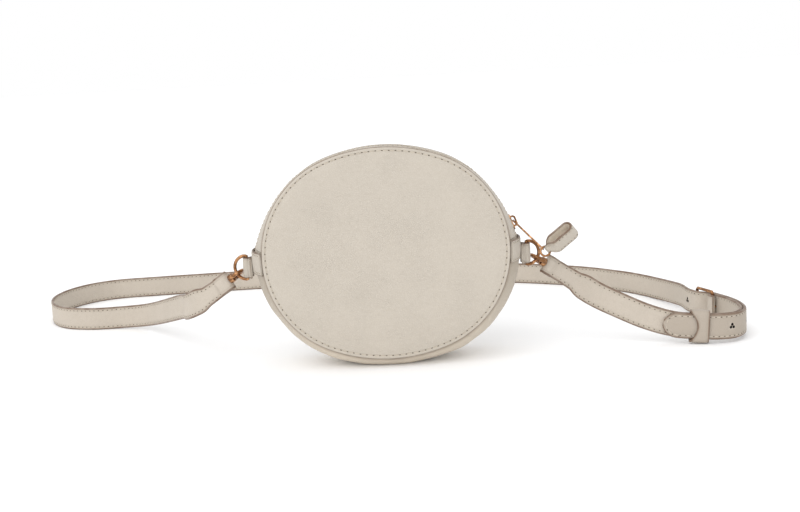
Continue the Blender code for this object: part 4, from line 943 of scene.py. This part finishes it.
def make_lining():
    """A thin cloth bag inside the bag, open under the zip, with soft creases, and its leather pocket."""
    outer = BAG_DEPTH / 2 - PANEL_THICKNESS - 3 * SEAT_GAP - BOARD_THICKNESS
    rings = []
    for depth in eased(-outer, outer, 30, 0.9):
        ring = []
        for i in range(LINING_ANGLES):
            spot = skin_point(2 * math.pi * i / LINING_ANGLES, depth, LINING_INSET, False)
            away = Vector((spot.x, 0, spot.z - PANEL_CENTRE))
            crease = LINING_CREASE * (0.5 + 0.5 * unevenness(spot, 9 * MM, 4))
            ring.append(spot - away.normalized() * crease)
        rings.append(ring)
    mesh = shell("lining_skin", rings)
    mouth = TAPE_SPLIT / 2 + TAPE_WIDTH - LINING_THICKNESS
    shape = bmesh.new()
    shape.from_mesh(mesh)
    gone = []
    for face in shape.faces:
        middle = face.calc_center_median()
        if (abs(middle.x) < MOUTH_HALF_WIDTH and abs(middle.y) < mouth
                and middle.z > PANEL_CENTRE + MOUTH_FLOOR):
            gone.append(face)
    bmesh.ops.delete(shape, geom=gone, context="FACES")
    shape.to_mesh(mesh)
    shape.free()
    skin = link("lining_skin", mesh)
    wall = skin.modifiers.new("thickness", "SOLIDIFY")
    wall.thickness = LINING_THICKNESS
    wall.offset = -1
    piece("lining_cloth", settled(skin), "bag", CLOTH, ("lining",))
    low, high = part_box("inner_pocket")
    rings = []
    for x in eased(low.x, high.x, 24):
        near_end = smooth((abs(x) - high.x + POCKET_CORNER) / POCKET_CORNER)
        corner = POCKET_CORNER * (1 - math.sqrt(max(0, 1 - near_end ** 2)))
        bottom, top = low.z + corner, high.z - corner
        shoulder = high.z - 1 * MM - corner
        section_at = ((low.y, bottom), (low.y, shoulder), (low.y + 0.4 * MM, top), (high.y - 0.4 * MM, top),
                      (high.y, shoulder), (high.y, bottom))
        rings.append([Vector((x, y, z)) for y, z in section_at])
    piece("inner_pocket_leather", shell("inner_pocket", rings), "bag", CLOTH,
          ("inner_pocket",))


# ---------------------------------------------------------------- strips of leather

class Band:
    """A strip laid along places, each with its directions across and out, and its width."""

    def __init__(self, stations, closed=False):
        self.stations = stations
        self.closed = closed
        spots = [row[0] for row in stations]
        if closed:
            spots.append(spots[0])
        self.marks = distances(spots)
        self.length = self.marks[-1]

    def station(self, i):
        if self.closed:
            return self.stations[i % len(self.stations)]
        return self.stations[min(max(i, 0), len(self.stations) - 1)]

    def at(self, mark):
        """Place, direction across, outward side and width at a distance along the strip."""
        low, high = 0, len(self.marks) - 2
        while low < high:
            middle = (low + high + 1) // 2
            if self.marks[middle] <= mark:
                low = middle
            else:
                high = middle - 1
        span = self.marks[low + 1] - self.marks[low]
        t = min(max((mark - self.marks[low]) / span, 0.0), 1.0) if span else 0.0
        a, b, c, d = (self.station(low + k) for k in (-1, 0, 1, 2))
        spot = catmull(a[0], b[0], c[0], d[0], t)
        across = b[1].lerp(c[1], t).normalized()
        out = b[2].lerp(c[2], t)
        out = (out - across * out.dot(across)).normalized()
        return spot, across, out, b[3] + (c[3] - b[3]) * t

    def nearest(self, spot, low=0.0, high=None):
        """The distance along the strip of its place nearest to a spot."""
        marks = steps(low, self.length if high is None else high, 0.5 * MM)
        return min(marks, key=lambda mark: (self.at(mark)[0] - spot).length)


def section(width, thickness, inset, lap):
    """Places round a strip's section: across, up, edge paint and painted shade along the sewn line."""
    half = thickness / 2
    bevel = 0.8 * half
    reach = width / 2 - bevel
    inset = min(inset, width * 0.25)
    line = width / 2 - inset
    near = min(0.7 * MM, width * 0.05)
    marks = [reach, (reach + line + near) / 2, line + near, line + near / 2, line, line - near / 2,
             line - near, (line - near) * 0.75, (line - near) * 0.4]
    across = [-u for u in marks] + [0.0] + marks[::-1]
    face = []
    for u in across:
        away = abs(abs(u) - line)
        dip = CHANNEL_DEPTH * 0.7 * bell(away, CHANNEL_WIDTH * 0.8)
        crown = 0.18 * MM * (1 - (u / reach) ** 2) if reach else 0
        face.append((u, half + crown - dip, smooth((abs(u) - reach + lap) / lap), bell(away, 0.6 * MM)))
    arc = [(reach + bevel * math.cos(t), half * math.sin(t), 1.0, 0.0)
           for t in spread(75 * DEG, -75 * DEG, 6)]
    under = [(u, -v, e, s) for u, v, e, s in reversed(face)]
    left = [(-u, -v, e, s) for u, v, e, s in arc]
    return face + arc + under + left


def strip_mesh(name, band, thickness, inset, step=2 * MM, curl=0.0, wave=0.12 * MM, lap=0.3 * MM,
               shade_reach=0.0, lit_inside=False):
    """A strip's mesh with painted round edges and a sunk line where it is sewn.

    The second tone shows as painted shade over the strip's first stretch, as far as the reach given, and,
    where the strip is lit inside, as painted light all along its inner side.
    """
    rings, edge, recess_shade, wear_and_painted_light = [], [], [], []
    marks = steps(0, band.length, step)
    if band.closed:
        marks = marks[:-1]
    for mark in marks:
        spot, across, out, width = band.at(mark)
        thick = thickness(mark) if callable(thickness) else thickness
        # painted shade: full up to the reach, fading out over 25 mm
        shade_share = 1 - smooth((mark - shade_reach) / (25 * MM)) if shade_reach else 0
        ring = []
        for u, v, e, s in section(width, thick, inset, lap):
            place = spot + across * u + out * (v - curl * u * u)
            ring.append(place + out * wave * unevenness(place, 14 * MM, 6))
            edge.append(e)
            recess_shade.append(s)
            wear_and_painted_light.append(1 if lit_inside and v < 0 else shade_share)
        rings.append(ring)
    return shell(name, rings, {"edge": edge, "recess_shade": recess_shade, "wear_and_painted_light": wear_and_painted_light}, band.closed)


def row(band, thickness, inset, side, face, start, end, curl=0.0):
    """Places of a line of sewing along one edge (side) and face of a strip."""
    run = []
    for mark in steps(start, end, 2 * MM):
        spot, across, out, width = band.at(mark)
        u = side * (width / 2 - inset)
        lift = thickness / 2 - CHANNEL_DEPTH * 0.35
        run.append((spot + across * u + out * face * (lift - face * curl * u * u), out * face))
    return run


# ---------------------------------------------------------------- side patches and ring loops

def mirror(side, spot):
    return Vector((side * spot.x, spot.y, spot.z))


def make_patch(side, word):
    """A leather patch across the gusset, stitched along its upper and lower edges."""
    stations = []
    angle = math.asin((PATCH_CENTRE_HEIGHT - PANEL_CENTRE) / CROWN_HALF_WIDTH)
    for depth in eased(-GUSSET_HALF_DEPTH, GUSSET_HALF_DEPTH, 33):
        turn = angle if side > 0 else math.pi - angle
        lift = SEAT_GAP + PATCH_THICKNESS / 2 + 0.15 * MM
        spot = skin_point(turn, depth, -lift, False)
        after = skin_point(turn, depth + 0.1 * MM, -lift, False)
        along = (after - skin_point(turn, depth - 0.1 * MM, -lift, False)).normalized()
        across = Vector((-math.sin(turn) * side, 0, math.cos(turn) * side)).normalized()
        out = along.cross(across) * side
        if out.x * side < 0:
            out.negate()
        stations.append((spot, across, out, PATCH_HEIGHT))
    band = Band(stations)
    curl = 1 / (2 * CROWN_HALF_WIDTH)
    mesh = strip_mesh("patch", band, PATCH_THICKNESS, PATCH_STITCH_INSET, 1.2 * MM, curl, 0.05 * MM)
    name = "side_patch_" + word
    piece(name + "_leather", mesh, "bag", LEATHER, (name,))
    runs = []
    for edge in (-1, 1):
        line = row(band, PATCH_THICKNESS, PATCH_STITCH_INSET, edge, 1, 1 * MM, band.length - 1 * MM, curl)
        runs.append((line, False))
    stitches(name + "_stitching", runs, "bag", PATCH_STITCH_PITCH, 4)


def make_loop(side, word):
    """A leather strip folded round the ring's bar, its feet sewn to the patch."""
    radius = RING_WIRE + SEAT_GAP + LOOP_THICKNESS / 2
    foot = LOOP_FOOT_X + LOOP_THICKNESS / 2
    half = LOOP_FOOT_WIDTH / 2 - 0.7 * MM
    path = [(foot, -half), (foot + 0.2 * MM, -half * 0.72)]
    path += [(RING_BAR_X + radius * math.sin(t), radius * math.cos(t))
             for t in spread(215 * DEG, -35 * DEG, 17)]
    path += [(foot + 0.2 * MM, half * 0.72), (foot, half)]
    stations = []
    for i, (x, y) in enumerate(path):
        before, after = path[max(i - 1, 0)], path[min(i + 1, len(path) - 1)]
        along = Vector((after[0] - before[0], after[1] - before[1], 0)).normalized()
        out = Vector((along.y, -along.x, 0))
        spot = Vector((x, y, RING_CENTRE_HEIGHT))
        stations.append((mirror(side, spot), Vector((0, 0, 1)), mirror(side, out), LOOP_HEIGHT))
    band = Band(stations)
    name = "ring_loop_" + word
    mesh = strip_mesh(name, band, LOOP_THICKNESS, LOOP_STITCH_INSET, 0.5 * MM, 0, 0.03 * MM)
    piece(name + "_leather", mesh, "strap", LEATHER, (name,))
    runs = []
    for end in (0.0, band.length - 3.4 * MM):
        for edge in (-1, 1):
            line = row(band, LOOP_THICKNESS, LOOP_STITCH_INSET, edge, 1, end + 0.2 * MM, end + 3.2 * MM)
            runs.append((line, False))
    stitches(name + "_stitching", runs, "strap", LOOP_STITCH_PITCH, 5)


# ---------------------------------------------------------------- strap

def ring_frame(side):
    """Frame at the ring's bar: X outwards in the ring's plane, Z along the bar."""
    bar = Matrix.Translation((RING_BAR_X, 0, RING_CENTRE_HEIGHT))
    return Matrix.Diagonal((side, 1, 1, 1)) @ bar @ Matrix.Rotation(RING_TURN, 4, "Z")


def hook_frame(side):
    """Frame at the middle of the ring's wire where the hook pulls: X along the pull, Y across."""
    reach = RING_BAR_OFFSET + RING_BEND_RADIUS * math.cos(PULL_DOWN_ANGLE)
    drop = -RING_BEND_RADIUS * math.sin(PULL_DOWN_ANGLE)
    return (ring_frame(side) @ Matrix.Translation((reach, 0, drop))
            @ Matrix.Rotation(PULL_DOWN_ANGLE, 4, "Y") @ Matrix.Translation((-HOOK_SLACK, 0, 0)))


def eye_bar_reach():
    """How far the eye's far bar lies from the ring's wire."""
    return BARREL_END_REACH + SEAT_GAP + HOOK_WIRE + EYE_LENGTH


def route_points():
    """The strap's centre line as places along a smooth curve, from the right hook to the left."""
    low = STRAP_WIDTH / 2
    knots = [Vector((x * STRAP_REACH, y * STRAP_REACH, low + lift * (RING_CENTRE_HEIGHT - low)))
             for x, y, lift in ROUTE_SHARES]
    bar = eye_bar_reach()
    knots[0] = hook_frame(1) @ Vector((bar + FOLD_RUN_RIGHT, 0, 0))
    knots[-1] = hook_frame(-1) @ Vector((bar + FOLD_RUN_LEFT, 0, 0))
    line = [hook_frame(1) @ Vector((bar, 0, 0))] + knots + [hook_frame(-1) @ Vector((bar, 0, 0))]
    dense = []
    for i in range(1, len(line) - 2):
        a, b, c, d = line[i - 1:i + 3]
        for j in range(SPLINE_STEPS):
            place = catmull(a, b, c, d, j / SPLINE_STEPS)
            place.z = max(place.z, low)
            dense.append(place)
    dense.append(line[-2])
    return dense


class Route:
    """The strap's curve, read by the distance along it."""

    def __init__(self, points):
        self.points = points
        self.marks = distances(points)
        self.length = self.marks[-1]

    def at(self, distance):
        """Place, direction, upward edge and outward side at a distance."""
        distance = min(max(distance, 0.0), self.length)
        i = 0
        while i < len(self.marks) - 2 and self.marks[i + 1] < distance:
            i += 1
        t = (distance - self.marks[i]) / (self.marks[i + 1] - self.marks[i])
        spot = self.points[i].lerp(self.points[i + 1], t)
        before = self.points[max(i - 1, 0)]
        after = self.points[min(i + 2, len(self.points) - 1)]
        along = (after - before).normalized()
        up = (Vector((0, 0, 1)) - along * along.z).normalized()
        return spot, along, up, along.cross(up)

    def mark_near(self, shares):
        """The distance along the route of its place nearest to a spot in plan."""
        spot = Vector(shares) * STRAP_REACH
        best = min(range(len(self.points)), key=lambda i: (self.points[i].xy - spot).length)
        return self.marks[best]


def hook_fold(side, reverse):
    """Stations of the strap's end: a short tail, the turn round the eye's bar, and the way out."""
    place = hook_frame(side)
    turn = place.to_3x3()
    up = turn @ Vector((0, 0, 1))
    bar = eye_bar_reach() - FOLD_SHIFT
    path = [((bar + FOLD_TAIL, side * LAYER_STEP), (0, -1)),
            ((bar + FOLD_TAIL / 2, side * LAYER_STEP), (0, -1)),
            ((bar + FOLD_TAIL / 4, side * FOLD_RADIUS), (0, -1))]
    for t in spread(-math.pi / 2, math.pi / 2, 9):
        path.append(((bar - FOLD_RADIUS * math.cos(t), -side * FOLD_RADIUS * math.sin(t)),
                     (side * math.cos(t), math.sin(t))))
    for share in FOLD_SHARES:
        y = -side * FOLD_RADIUS * (1 - smooth(share))
        path.append(((bar + FOLD_SETTLE * share, y), (-side * FOLD_LEAN, 1)))
    run = FOLD_RUN_RIGHT if side > 0 else FOLD_RUN_LEFT
    path.append(((bar + FOLD_SHIFT / 2 + (FOLD_TAIL + run) / 2, 0), (0, 1)))
    stations = [(place @ Vector((x, y, 0)), up, (turn @ Vector((nx, ny, 0))).normalized(), STRAP_END_WIDTH)
                for (x, y), (nx, ny) in path]
    return list(reversed(stations)) if reverse else stations


def taper(distance):
    """The strap's width at a distance from its fold's tail end."""
    return STRAP_END_WIDTH + (STRAP_WIDTH - STRAP_END_WIDTH) * smooth(distance / STRAP_TAPER)


def tip_width(distance):
    """The width of the strap's rounded tip, by the distance from its end."""
    share = min(max(distance / TIP_LENGTH, 0.04), 1.0)
    return STRAP_WIDTH * math.sqrt(1 - (1 - share) ** 2)


def long_offset(past_buckle):
    """How far the long strap lies outside the route, by its distance past the buckle's bar."""
    outside = LAYER_STEP
    inside = -(2 * BUCKLE_WIRE + 2 * SEAT_GAP + STRAP_THICKNESS)
    if past_buckle < BUCKLE_LENGTH * THREAD_OUT_START:
        start, end = [BUCKLE_LENGTH * share for share in THREAD_IN_SHARES]
        return outside + (inside - outside) * smooth((past_buckle - start) / (end - start))
    past_frame = past_buckle - BUCKLE_LENGTH * THREAD_OUT_START
    return inside * (1 - smooth(past_frame / (BUCKLE_LENGTH * THREAD_OUT_SPAN)))


def buckle_frame_at(route, buckle_at):
    """Frame at the buckle's fixed bar: X towards the free end of the frame, Y out, Z up."""
    spot, along, _, out = route.at(buckle_at)
    along = Vector((along.x, along.y, 0)).normalized()
    out = Vector((along.y, -along.x, 0))
    drop = BUCKLE_WIRE + SEAT_GAP + STRAP_THICKNESS / 2
    turn = Matrix((along, out, Vector((0, 0, 1)))).transposed().to_4x4()
    return Matrix.Translation(spot - out * drop) @ turn


def sewn_rows(band, start, end):
    """Four lines of sewing: along both edges of both faces."""
    return [(row(band, STRAP_THICKNESS, STRAP_STITCH_INSET, side, face, start, end), False)
            for side in (-1, 1) for face in (-1, 1)]


def make_short_strap(route, buckle_at):
    """From the right hook round the bend to the buckle, folded back at both ends."""
    stations = hook_fold(1, False)
    for distance in steps(STRAP_STEP, buckle_at - STRAP_STEP, STRAP_STEP):
        spot, _, up, out = route.at(distance)
        stations.append((spot, up, -out, taper(distance)))
    place = buckle_frame_at(route, buckle_at)
    turn = place.to_3x3()
    radius = BUCKLE_WIRE + SEAT_GAP + STRAP_THICKNESS / 2
    upright = Vector((0, 0, 1))
    for t in spread(0, math.pi, 9):
        spot = place @ Vector((radius * math.sin(t), radius * math.cos(t), 0))
        stations.append((spot, upright, turn @ Vector((-math.sin(t), -math.cos(t), 0)), STRAP_WIDTH))
    for x in (-FOLD_TAIL / 3, -FOLD_TAIL * 2 / 3):
        stations.append((place @ Vector((x, -radius, 0)), upright, turn @ Vector((0, 1, 0)), STRAP_WIDTH))
    band = Band(stations)
    mesh = strip_mesh("strap_short", band, STRAP_THICKNESS, STRAP_STITCH_INSET, STRAP_MESH_STEP, lap=EDGE_LAP)
    slot = block((-FOLD_SLOT_LENGTH / 2, -SLOT_CUT_REACH, -PRONG_SLOT_HEIGHT / 2),
                 (FOLD_SLOT_LENGTH, SLOT_CUT_REACH / 2, PRONG_SLOT_HEIGHT / 2), place)
    piece("strap_short_leather", cut(mesh, STRAP_LEATHER, [slot]), "strap", None,
          ("strap_short",))
    runs = sewn_rows(band, FOLD_SEWN_FROM, band.length - BUCKLE_SEWN_FROM)
    stitches("strap_short_stitching", runs, "strap", STRAP_STITCH_PITCH, 7)
    return band


def tip_row(band, face):
    """One line of sewing that runs along the upper edge, round the rounded tip and back below."""
    run = []
    inner = TIP_LENGTH - STRAP_STITCH_INSET
    tall = STRAP_WIDTH / 2 - STRAP_STITCH_INSET
    for t in spread(0, math.pi, 15):
        mark = TIP_LENGTH - inner * math.sin(t)
        spot, across, out, _ = band.at(mark)
        lift = STRAP_THICKNESS / 2 + 0.02 * MM
        run.append((spot + across * tall * math.cos(t) + out * face * lift, out * face))
    return run


def hole_cutters(band, mark):
    """Three small round holes that meet in the middle."""
    spot, across, out, _ = band.at(mark)
    along = across.cross(out)
    cutters = []
    for turn in (90 * DEG, 210 * DEG, 330 * DEG):
        middle = spot + (along * math.cos(turn) + across * math.sin(turn)) * PUNCH_OFFSET
        cutters.append(rod(PUNCH_RADIUS, middle - out * STRAP_THICKNESS, middle + out * STRAP_THICKNESS, 14))
    return cutters


def make_long_strap(route, tip_at, buckle_at):
    """From its rounded tip back through the keeper and the buckle, and on to the left hook."""
    stations = []
    marks = [tip_at + TIP_LENGTH * share for share in TIP_SHARES]
    marks += steps(tip_at + TIP_LENGTH * 1.3, buckle_at - STRAP_STEP, STRAP_STEP)
    marks += steps(buckle_at, route.length - STRAP_STEP, STRAP_STEP)
    for mark in marks:
        spot, _, up, out = route.at(mark)
        width = min(tip_width(mark - tip_at), taper(route.length - mark))
        stations.append((spot + out * long_offset(mark - buckle_at), up, -out, width))
    stations += hook_fold(-1, True)
    band = Band(stations)
    # painted shade: darker tone over the tip end
    mesh = strip_mesh("strap_long", band, STRAP_THICKNESS, STRAP_STITCH_INSET, STRAP_MESH_STEP,
                      lap=EDGE_LAP, shade_reach=SHADED_TIP_LENGTH)
    place = buckle_frame_at(route, buckle_at)
    slot_at = BUCKLE_LENGTH * PRONG_SLOT_SHARE
    cutters = [block((slot_at - PRONG_SLOT_LENGTH / 2, -SLOT_CUT_REACH, -PRONG_SLOT_HEIGHT / 2),
                     (slot_at + PRONG_SLOT_LENGTH / 2, SLOT_CUT_REACH, PRONG_SLOT_HEIGHT / 2), place)]
    for count in HOLE_COUNTS:
        mark = buckle_at + slot_at + count * HOLE_PITCH
        spot, _, _, out = route.at(mark)
        spot = spot + out * long_offset(mark - buckle_at)
        before, after = HOLE_SEARCH
        cutters += hole_cutters(band, band.nearest(spot, mark - tip_at - before, mark - tip_at + after))
    piece("strap_long_leather", cut(mesh, STRAP_LEATHER, cutters), "strap", None,
          ("strap_long",))
    runs = sewn_rows(band, TIP_LENGTH + 1 * MM, band.length - FOLD_SEWN_FROM)
    runs += [(tip_row(band, face), False) for face in (-1, 1)]
    stitches("strap_long_stitching", runs, "strap", STRAP_STITCH_PITCH, 8)
    return band


def make_keeper(name, route, mark, body):
    """A leather loop round both straps, with rounded corners and painted edges."""
    spot, along, up, out = route.at(mark)
    low = -STRAP_THICKNESS / 2 - KEEPER_GAP - KEEPER_WALL / 2
    high = LAYER_STEP + STRAP_THICKNESS / 2 + KEEPER_GAP + KEEPER_WALL / 2
    tall = STRAP_WIDTH / 2 + KEEPER_EDGE_GAP + KEEPER_WALL / 2
    middle, half = (low + high) / 2, (high - low) / 2
    stations = []
    for start, x_sign, y_sign in ((0, 1, 1), (90, -1, 1), (180, -1, -1), (270, 1, -1)):
        for t in spread(start, start + 90, 7):
            turned = Vector((math.cos(t * DEG), math.sin(t * DEG)))
            place = Vector((middle + x_sign * (half - KEEPER_CORNER), y_sign * (tall - KEEPER_CORNER)))
            place = place + turned * KEEPER_CORNER
            stations.append((place, turned))
        if start in (90, 270):
            for share in (0.15, 0.3, 0.5, 0.7, 0.85):
                rise = y_sign * (tall - KEEPER_CORNER) * (1 - 2 * share)
                stations.append((Vector((middle + x_sign * half, rise)), Vector((x_sign, 0))))
    rows = []
    for place, turned in stations:
        bow = KEEPER_BOW * (1 - (place.y / tall) ** 2) * (place.x > middle)
        outwards = (out * turned.x + up * turned.y).normalized()
        centre = spot + out * place.x + up * place.y + along * bow / 2
        rows.append((centre, along, outwards, KEEPER_LENGTH - bow))
    # painted shade: the whole keeper takes the darker tone
    mesh = strip_mesh(name, Band(rows, True), KEEPER_WALL, KEEPER_SEAM_INSET, 0.8 * MM, 0, 0.08 * MM,
                      EDGE_LAP, 1)
    piece(name + "_leather", mesh, body, STRAP_LEATHER, (name,))


# ---------------------------------------------------------------- leather pull

def make_pull():
    """A strip folded into a long loop through the small ring, wider at its far fold and stitched."""
    joint = next(joint for joint in frame["joints"] if joint["child"] == "pull")
    across = Vector(joint["axis"]).normalized()
    along = (Vector(PULL_DIRECTION) - across * across.dot(Vector(PULL_DIRECTION))).normalized()
    turn = Matrix((along, across, along.cross(across))).transposed()
    place = Matrix.Translation(joint["pos_m"]) @ turn.to_4x4()
    near = PULL_RING_WIRE + SEAT_GAP + PULL_NECK_THICKNESS / 2
    far_x = PULL_LENGTH - PULL_FOLD_RADIUS
    rise = PULL_FOLD_RADIUS - near
    sides = [(far_x * share, near + rise * smooth(share / 0.3)) for share in PULL_SHARES]
    path = [(-PULL_NECK_SLACK - near * math.cos(t), near * math.sin(t))
            for t in spread(-math.pi / 2, math.pi / 2, 9)]
    path += sides
    path += [(far_x + PULL_FOLD_RADIUS * math.sin(t), PULL_FOLD_RADIUS * math.cos(t))
             for t in spread(0, math.pi, 11)]
    path += [(x, -z) for x, z in reversed(sides)]
    stations = []
    for i, (x, z) in enumerate(path):
        before, after = path[i - 1], path[(i + 1) % len(path)]
        facing = Vector((before[1] - after[1], 0, after[0] - before[0])).normalized()
        share = smooth(x / PULL_NECK_LENGTH)
        twist = turn @ Matrix.Rotation(PULL_TWIST * share, 3, "X")
        spot = place @ (Matrix.Rotation(PULL_TWIST * share, 3, "X") @ Vector((x, 0, z)))
        stations.append((spot, twist @ Vector((0, 1, 0)), twist @ facing,
                         PULL_NECK_WIDTH + (PULL_WIDTH - PULL_NECK_WIDTH) * share))
    band = Band(stations, True)

    def thickness(mark):
        share = min(mark, band.length - mark) / (band.length / 2)
        return PULL_NECK_THICKNESS + (PULL_THICKNESS - PULL_NECK_THICKNESS) * smooth(share * 3)

    # painted light: the loop's inner side takes the lighter tone, as if lit inside
    mesh = strip_mesh("leather_pull", band, thickness, PULL_STITCH_INSET, 0.6 * MM, 0, 0.05 * MM, lit_inside=True)
    piece("leather_pull_leather", mesh, "pull", PULL_LEATHER, ("leather_pull",))
    unsewn = band.length / 5
    runs = [(row(band, PULL_THICKNESS, PULL_STITCH_INSET, edge, 1, unsewn, band.length - unsewn), False)
            for edge in (-1, 1)]
    stitches("leather_pull_stitching", runs, "pull", PULL_STITCH_PITCH, 9)


# ---------------------------------------------------------------- metal

def narrowed(mesh, node):
    """Draws the strap end of a swivel eye in, as it sits inside the folded strap."""
    place = hook_frame(1 if node.endswith("right") else -1)
    back = place.inverted()
    for vertex in mesh.vertices:
        spot = back @ vertex.co
        spot.z *= 1 - (1 - EYE_SQUEEZE) * smooth((spot.x - BARREL_END_REACH) / (1 * MM))
        vertex.co = place @ spot


def cast(node, swell):
    """A metal piece's solid with its corners eased and its edges full, as casting and plating leave them."""
    source = frame["nodes"][node]
    item = link(node + "_cast", source.data.copy())
    if node.startswith("swivel_eye"):
        narrowed(item.data, node)
    remesh = item.modifiers.new("even", "REMESH")
    remesh.mode = "VOXEL"
    remesh.voxel_size = CAST_VOXEL
    ease = item.modifiers.new("ease", "SMOOTH")
    ease.factor = 0.5
    ease.iterations = CAST_ROUNDS
    full = item.modifiers.new("full", "DISPLACE")
    full.mid_level = 0
    full.strength = swell
    mesh = settled(item)
    mesh.shade_smooth()
    piece(node + "_metal", mesh, source["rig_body"], GOLD, (node,))


def finish_metal():
    for node in frame["nodes"]:
        for start, swell in SWELLS:
            if node.startswith(start):
                cast(node, swell)
        if node.startswith(("gate_pin", "zip_end_stop")):
            dress(node, GOLD)
        elif node.endswith("board"):
            dress(node, BOARD)


def dress(node, surface):
    """Gives a solid piece its finish."""
    mesh = frame["nodes"][node].data
    mesh.materials.clear()
    mesh.materials.append(surface)


# ---------------------------------------------------------------- studio

def make_studio():
    """A plain white floor, soft daylight and the camera."""
    bpy.ops.mesh.primitive_plane_add(size=FLOOR_SIZE)
    floor = bpy.context.object
    floor.name = "floor"
    floor_finish, _, shader = finish("floor_white")
    shader.inputs["Base Color"].default_value = (0.98, 0.98, 0.98, 1)
    shader.inputs["Roughness"].default_value = 0.9
    shader.inputs["Specular IOR Level"].default_value = 0.1
    floor.data.materials.append(floor_finish)
    world = bpy.data.worlds.new("studio")
    bpy.context.scene.world = world
    world.use_nodes = True
    net = Net(world.node_tree)
    path = net.add("ShaderNodeLightPath")
    sky = world.node_tree.nodes["Background"]
    net.feed(sky.inputs["Color"], net.mix(path, (0.975, 0.98, 0.99, 1), (1, 1, 1, 1)))
    sky.inputs["Strength"].default_value = 1.0
    for name, strength, softness, direction in LAMPS:
        sun = bpy.data.lights.new(name, "SUN")
        sun.energy = strength
        sun.angle = softness
        link(name, sun).rotation_euler = Vector(direction).to_track_quat("Z", "Y").to_euler()
    view = bpy.data.cameras.new("camera")
    view.lens = LENS
    view.sensor_width = SENSOR_WIDTH
    camera = link("camera", view)
    ahead = Vector((0, math.cos(CAMERA_PITCH), -math.sin(CAMERA_PITCH)))
    right = Vector((1, 0, 0))
    down = Vector((0, -math.sin(CAMERA_PITCH), -math.cos(CAMERA_PITCH)))
    across = right * math.cos(CAMERA_ROLL) + down * math.sin(CAMERA_ROLL)
    below = down * math.cos(CAMERA_ROLL) - right * math.sin(CAMERA_ROLL)
    turn = Matrix((across, -below, -ahead)).transposed().to_4x4()
    camera.matrix_world = Matrix.Translation(CAMERA_PLACE) @ turn
    bpy.context.scene.camera = camera
    bpy.context.scene.view_settings.view_transform = "Standard"


# ---------------------------------------------------------------- build

CREAM = (0.532, 0.482, 0.413, 1)
CREAM_SHADE = (0.350, 0.297, 0.232, 1)
STRAP_CREAM = (0.540, 0.478, 0.404, 1)
# painted shade: the gusset is the panels' leather, made darker as it is seen in shade
SHADED_GUSSET_CREAM = (0.430, 0.376, 0.305, 1)
# painted shade: darker strap tone for the tip end and the keeper
STRAP_SHADE_CREAM = (0.330, 0.275, 0.220, 1)
# painted light: the lighter tone laid under the gusset and inside the pull
PAINTED_LIGHT_CREAM = (0.80, 0.71, 0.59, 1)
# edge paint, also used for the painted shadow line beside the panel
EDGE_PAINT_AND_SEAM_SHADOW = (0.165, 0.105, 0.068, 1)
LEATHER = leather("cream_leather", CREAM, 880.0, 0.8, 0.44)
SHADED_GUSSET_LEATHER = leather("gusset_shaded_cream_leather", SHADED_GUSSET_CREAM, 880.0, 0.8, 0.46, PAINTED_LIGHT_CREAM)
STRAP_LEATHER = leather("strap_cream_leather", STRAP_CREAM, 1050.0, 0.7, 0.42, STRAP_SHADE_CREAM)
# painted light inside the pull
PULL_LEATHER = leather("pull_cream_leather", CREAM, 880.0, 0.8, 0.44, PAINTED_LIGHT_CREAM)
GOLD = metal("rose_gold", (0.52, 0.272, 0.132, 1), (0.15, 0.066, 0.026, 1), 0.2)
TAPE = woven("zip_tape_weave", (0.50, 0.45, 0.37, 1), (0.33, 0.29, 0.23, 1), 900.0, 0.85)
CLOTH = woven("lining_weave", (0.42, 0.37, 0.30, 1), (0.28, 0.24, 0.19, 1), 1100.0, 0.9)
BOARD = plain("grey_board", (0.36, 0.31, 0.25, 1), (0.28, 0.24, 0.19, 1), 900.0, 0.95)
THREAD = plain("thread", (0.60, 0.54, 0.45, 1), (0.46, 0.40, 0.32, 1), 3000.0, 0.7)
# painted shade: near-black walls for punched holes and slots
PUNCH_SHADE = plain("punched_hole_shade", (0.030, 0.022, 0.017, 1), (0.020, 0.015, 0.012, 1), 2000.0, 0.95)
# painted shade: dark discs laid on the surface where needle holes are
HOLE_SHADE = plain("needle_hole_shade", (0.13, 0.10, 0.07, 1), (0.09, 0.07, 0.05, 1), 2000.0, 0.95)
STITCH_TREE = stitch_tree()
TOOTH_TREE = tooth_tree()

make_panel("front_panel", -1)
make_panel("back_panel", 1)
make_gusset()
make_zip()
make_lining()
for SIDE, WORD in ((1, "right"), (-1, "left")):
    make_patch(SIDE, WORD)
    make_loop(SIDE, WORD)
ROUTE = Route(route_points())
BUCKLE_AT = ROUTE.mark_near(BUCKLE_SHARES)
make_short_strap(ROUTE, BUCKLE_AT)
make_long_strap(ROUTE, ROUTE.mark_near((TIP_SHARE, 0)), BUCKLE_AT)
make_keeper("sliding_keeper", ROUTE, ROUTE.mark_near((KEEPER_SHARE, 0)), "keeper")
make_pull()
finish_metal()
make_studio()
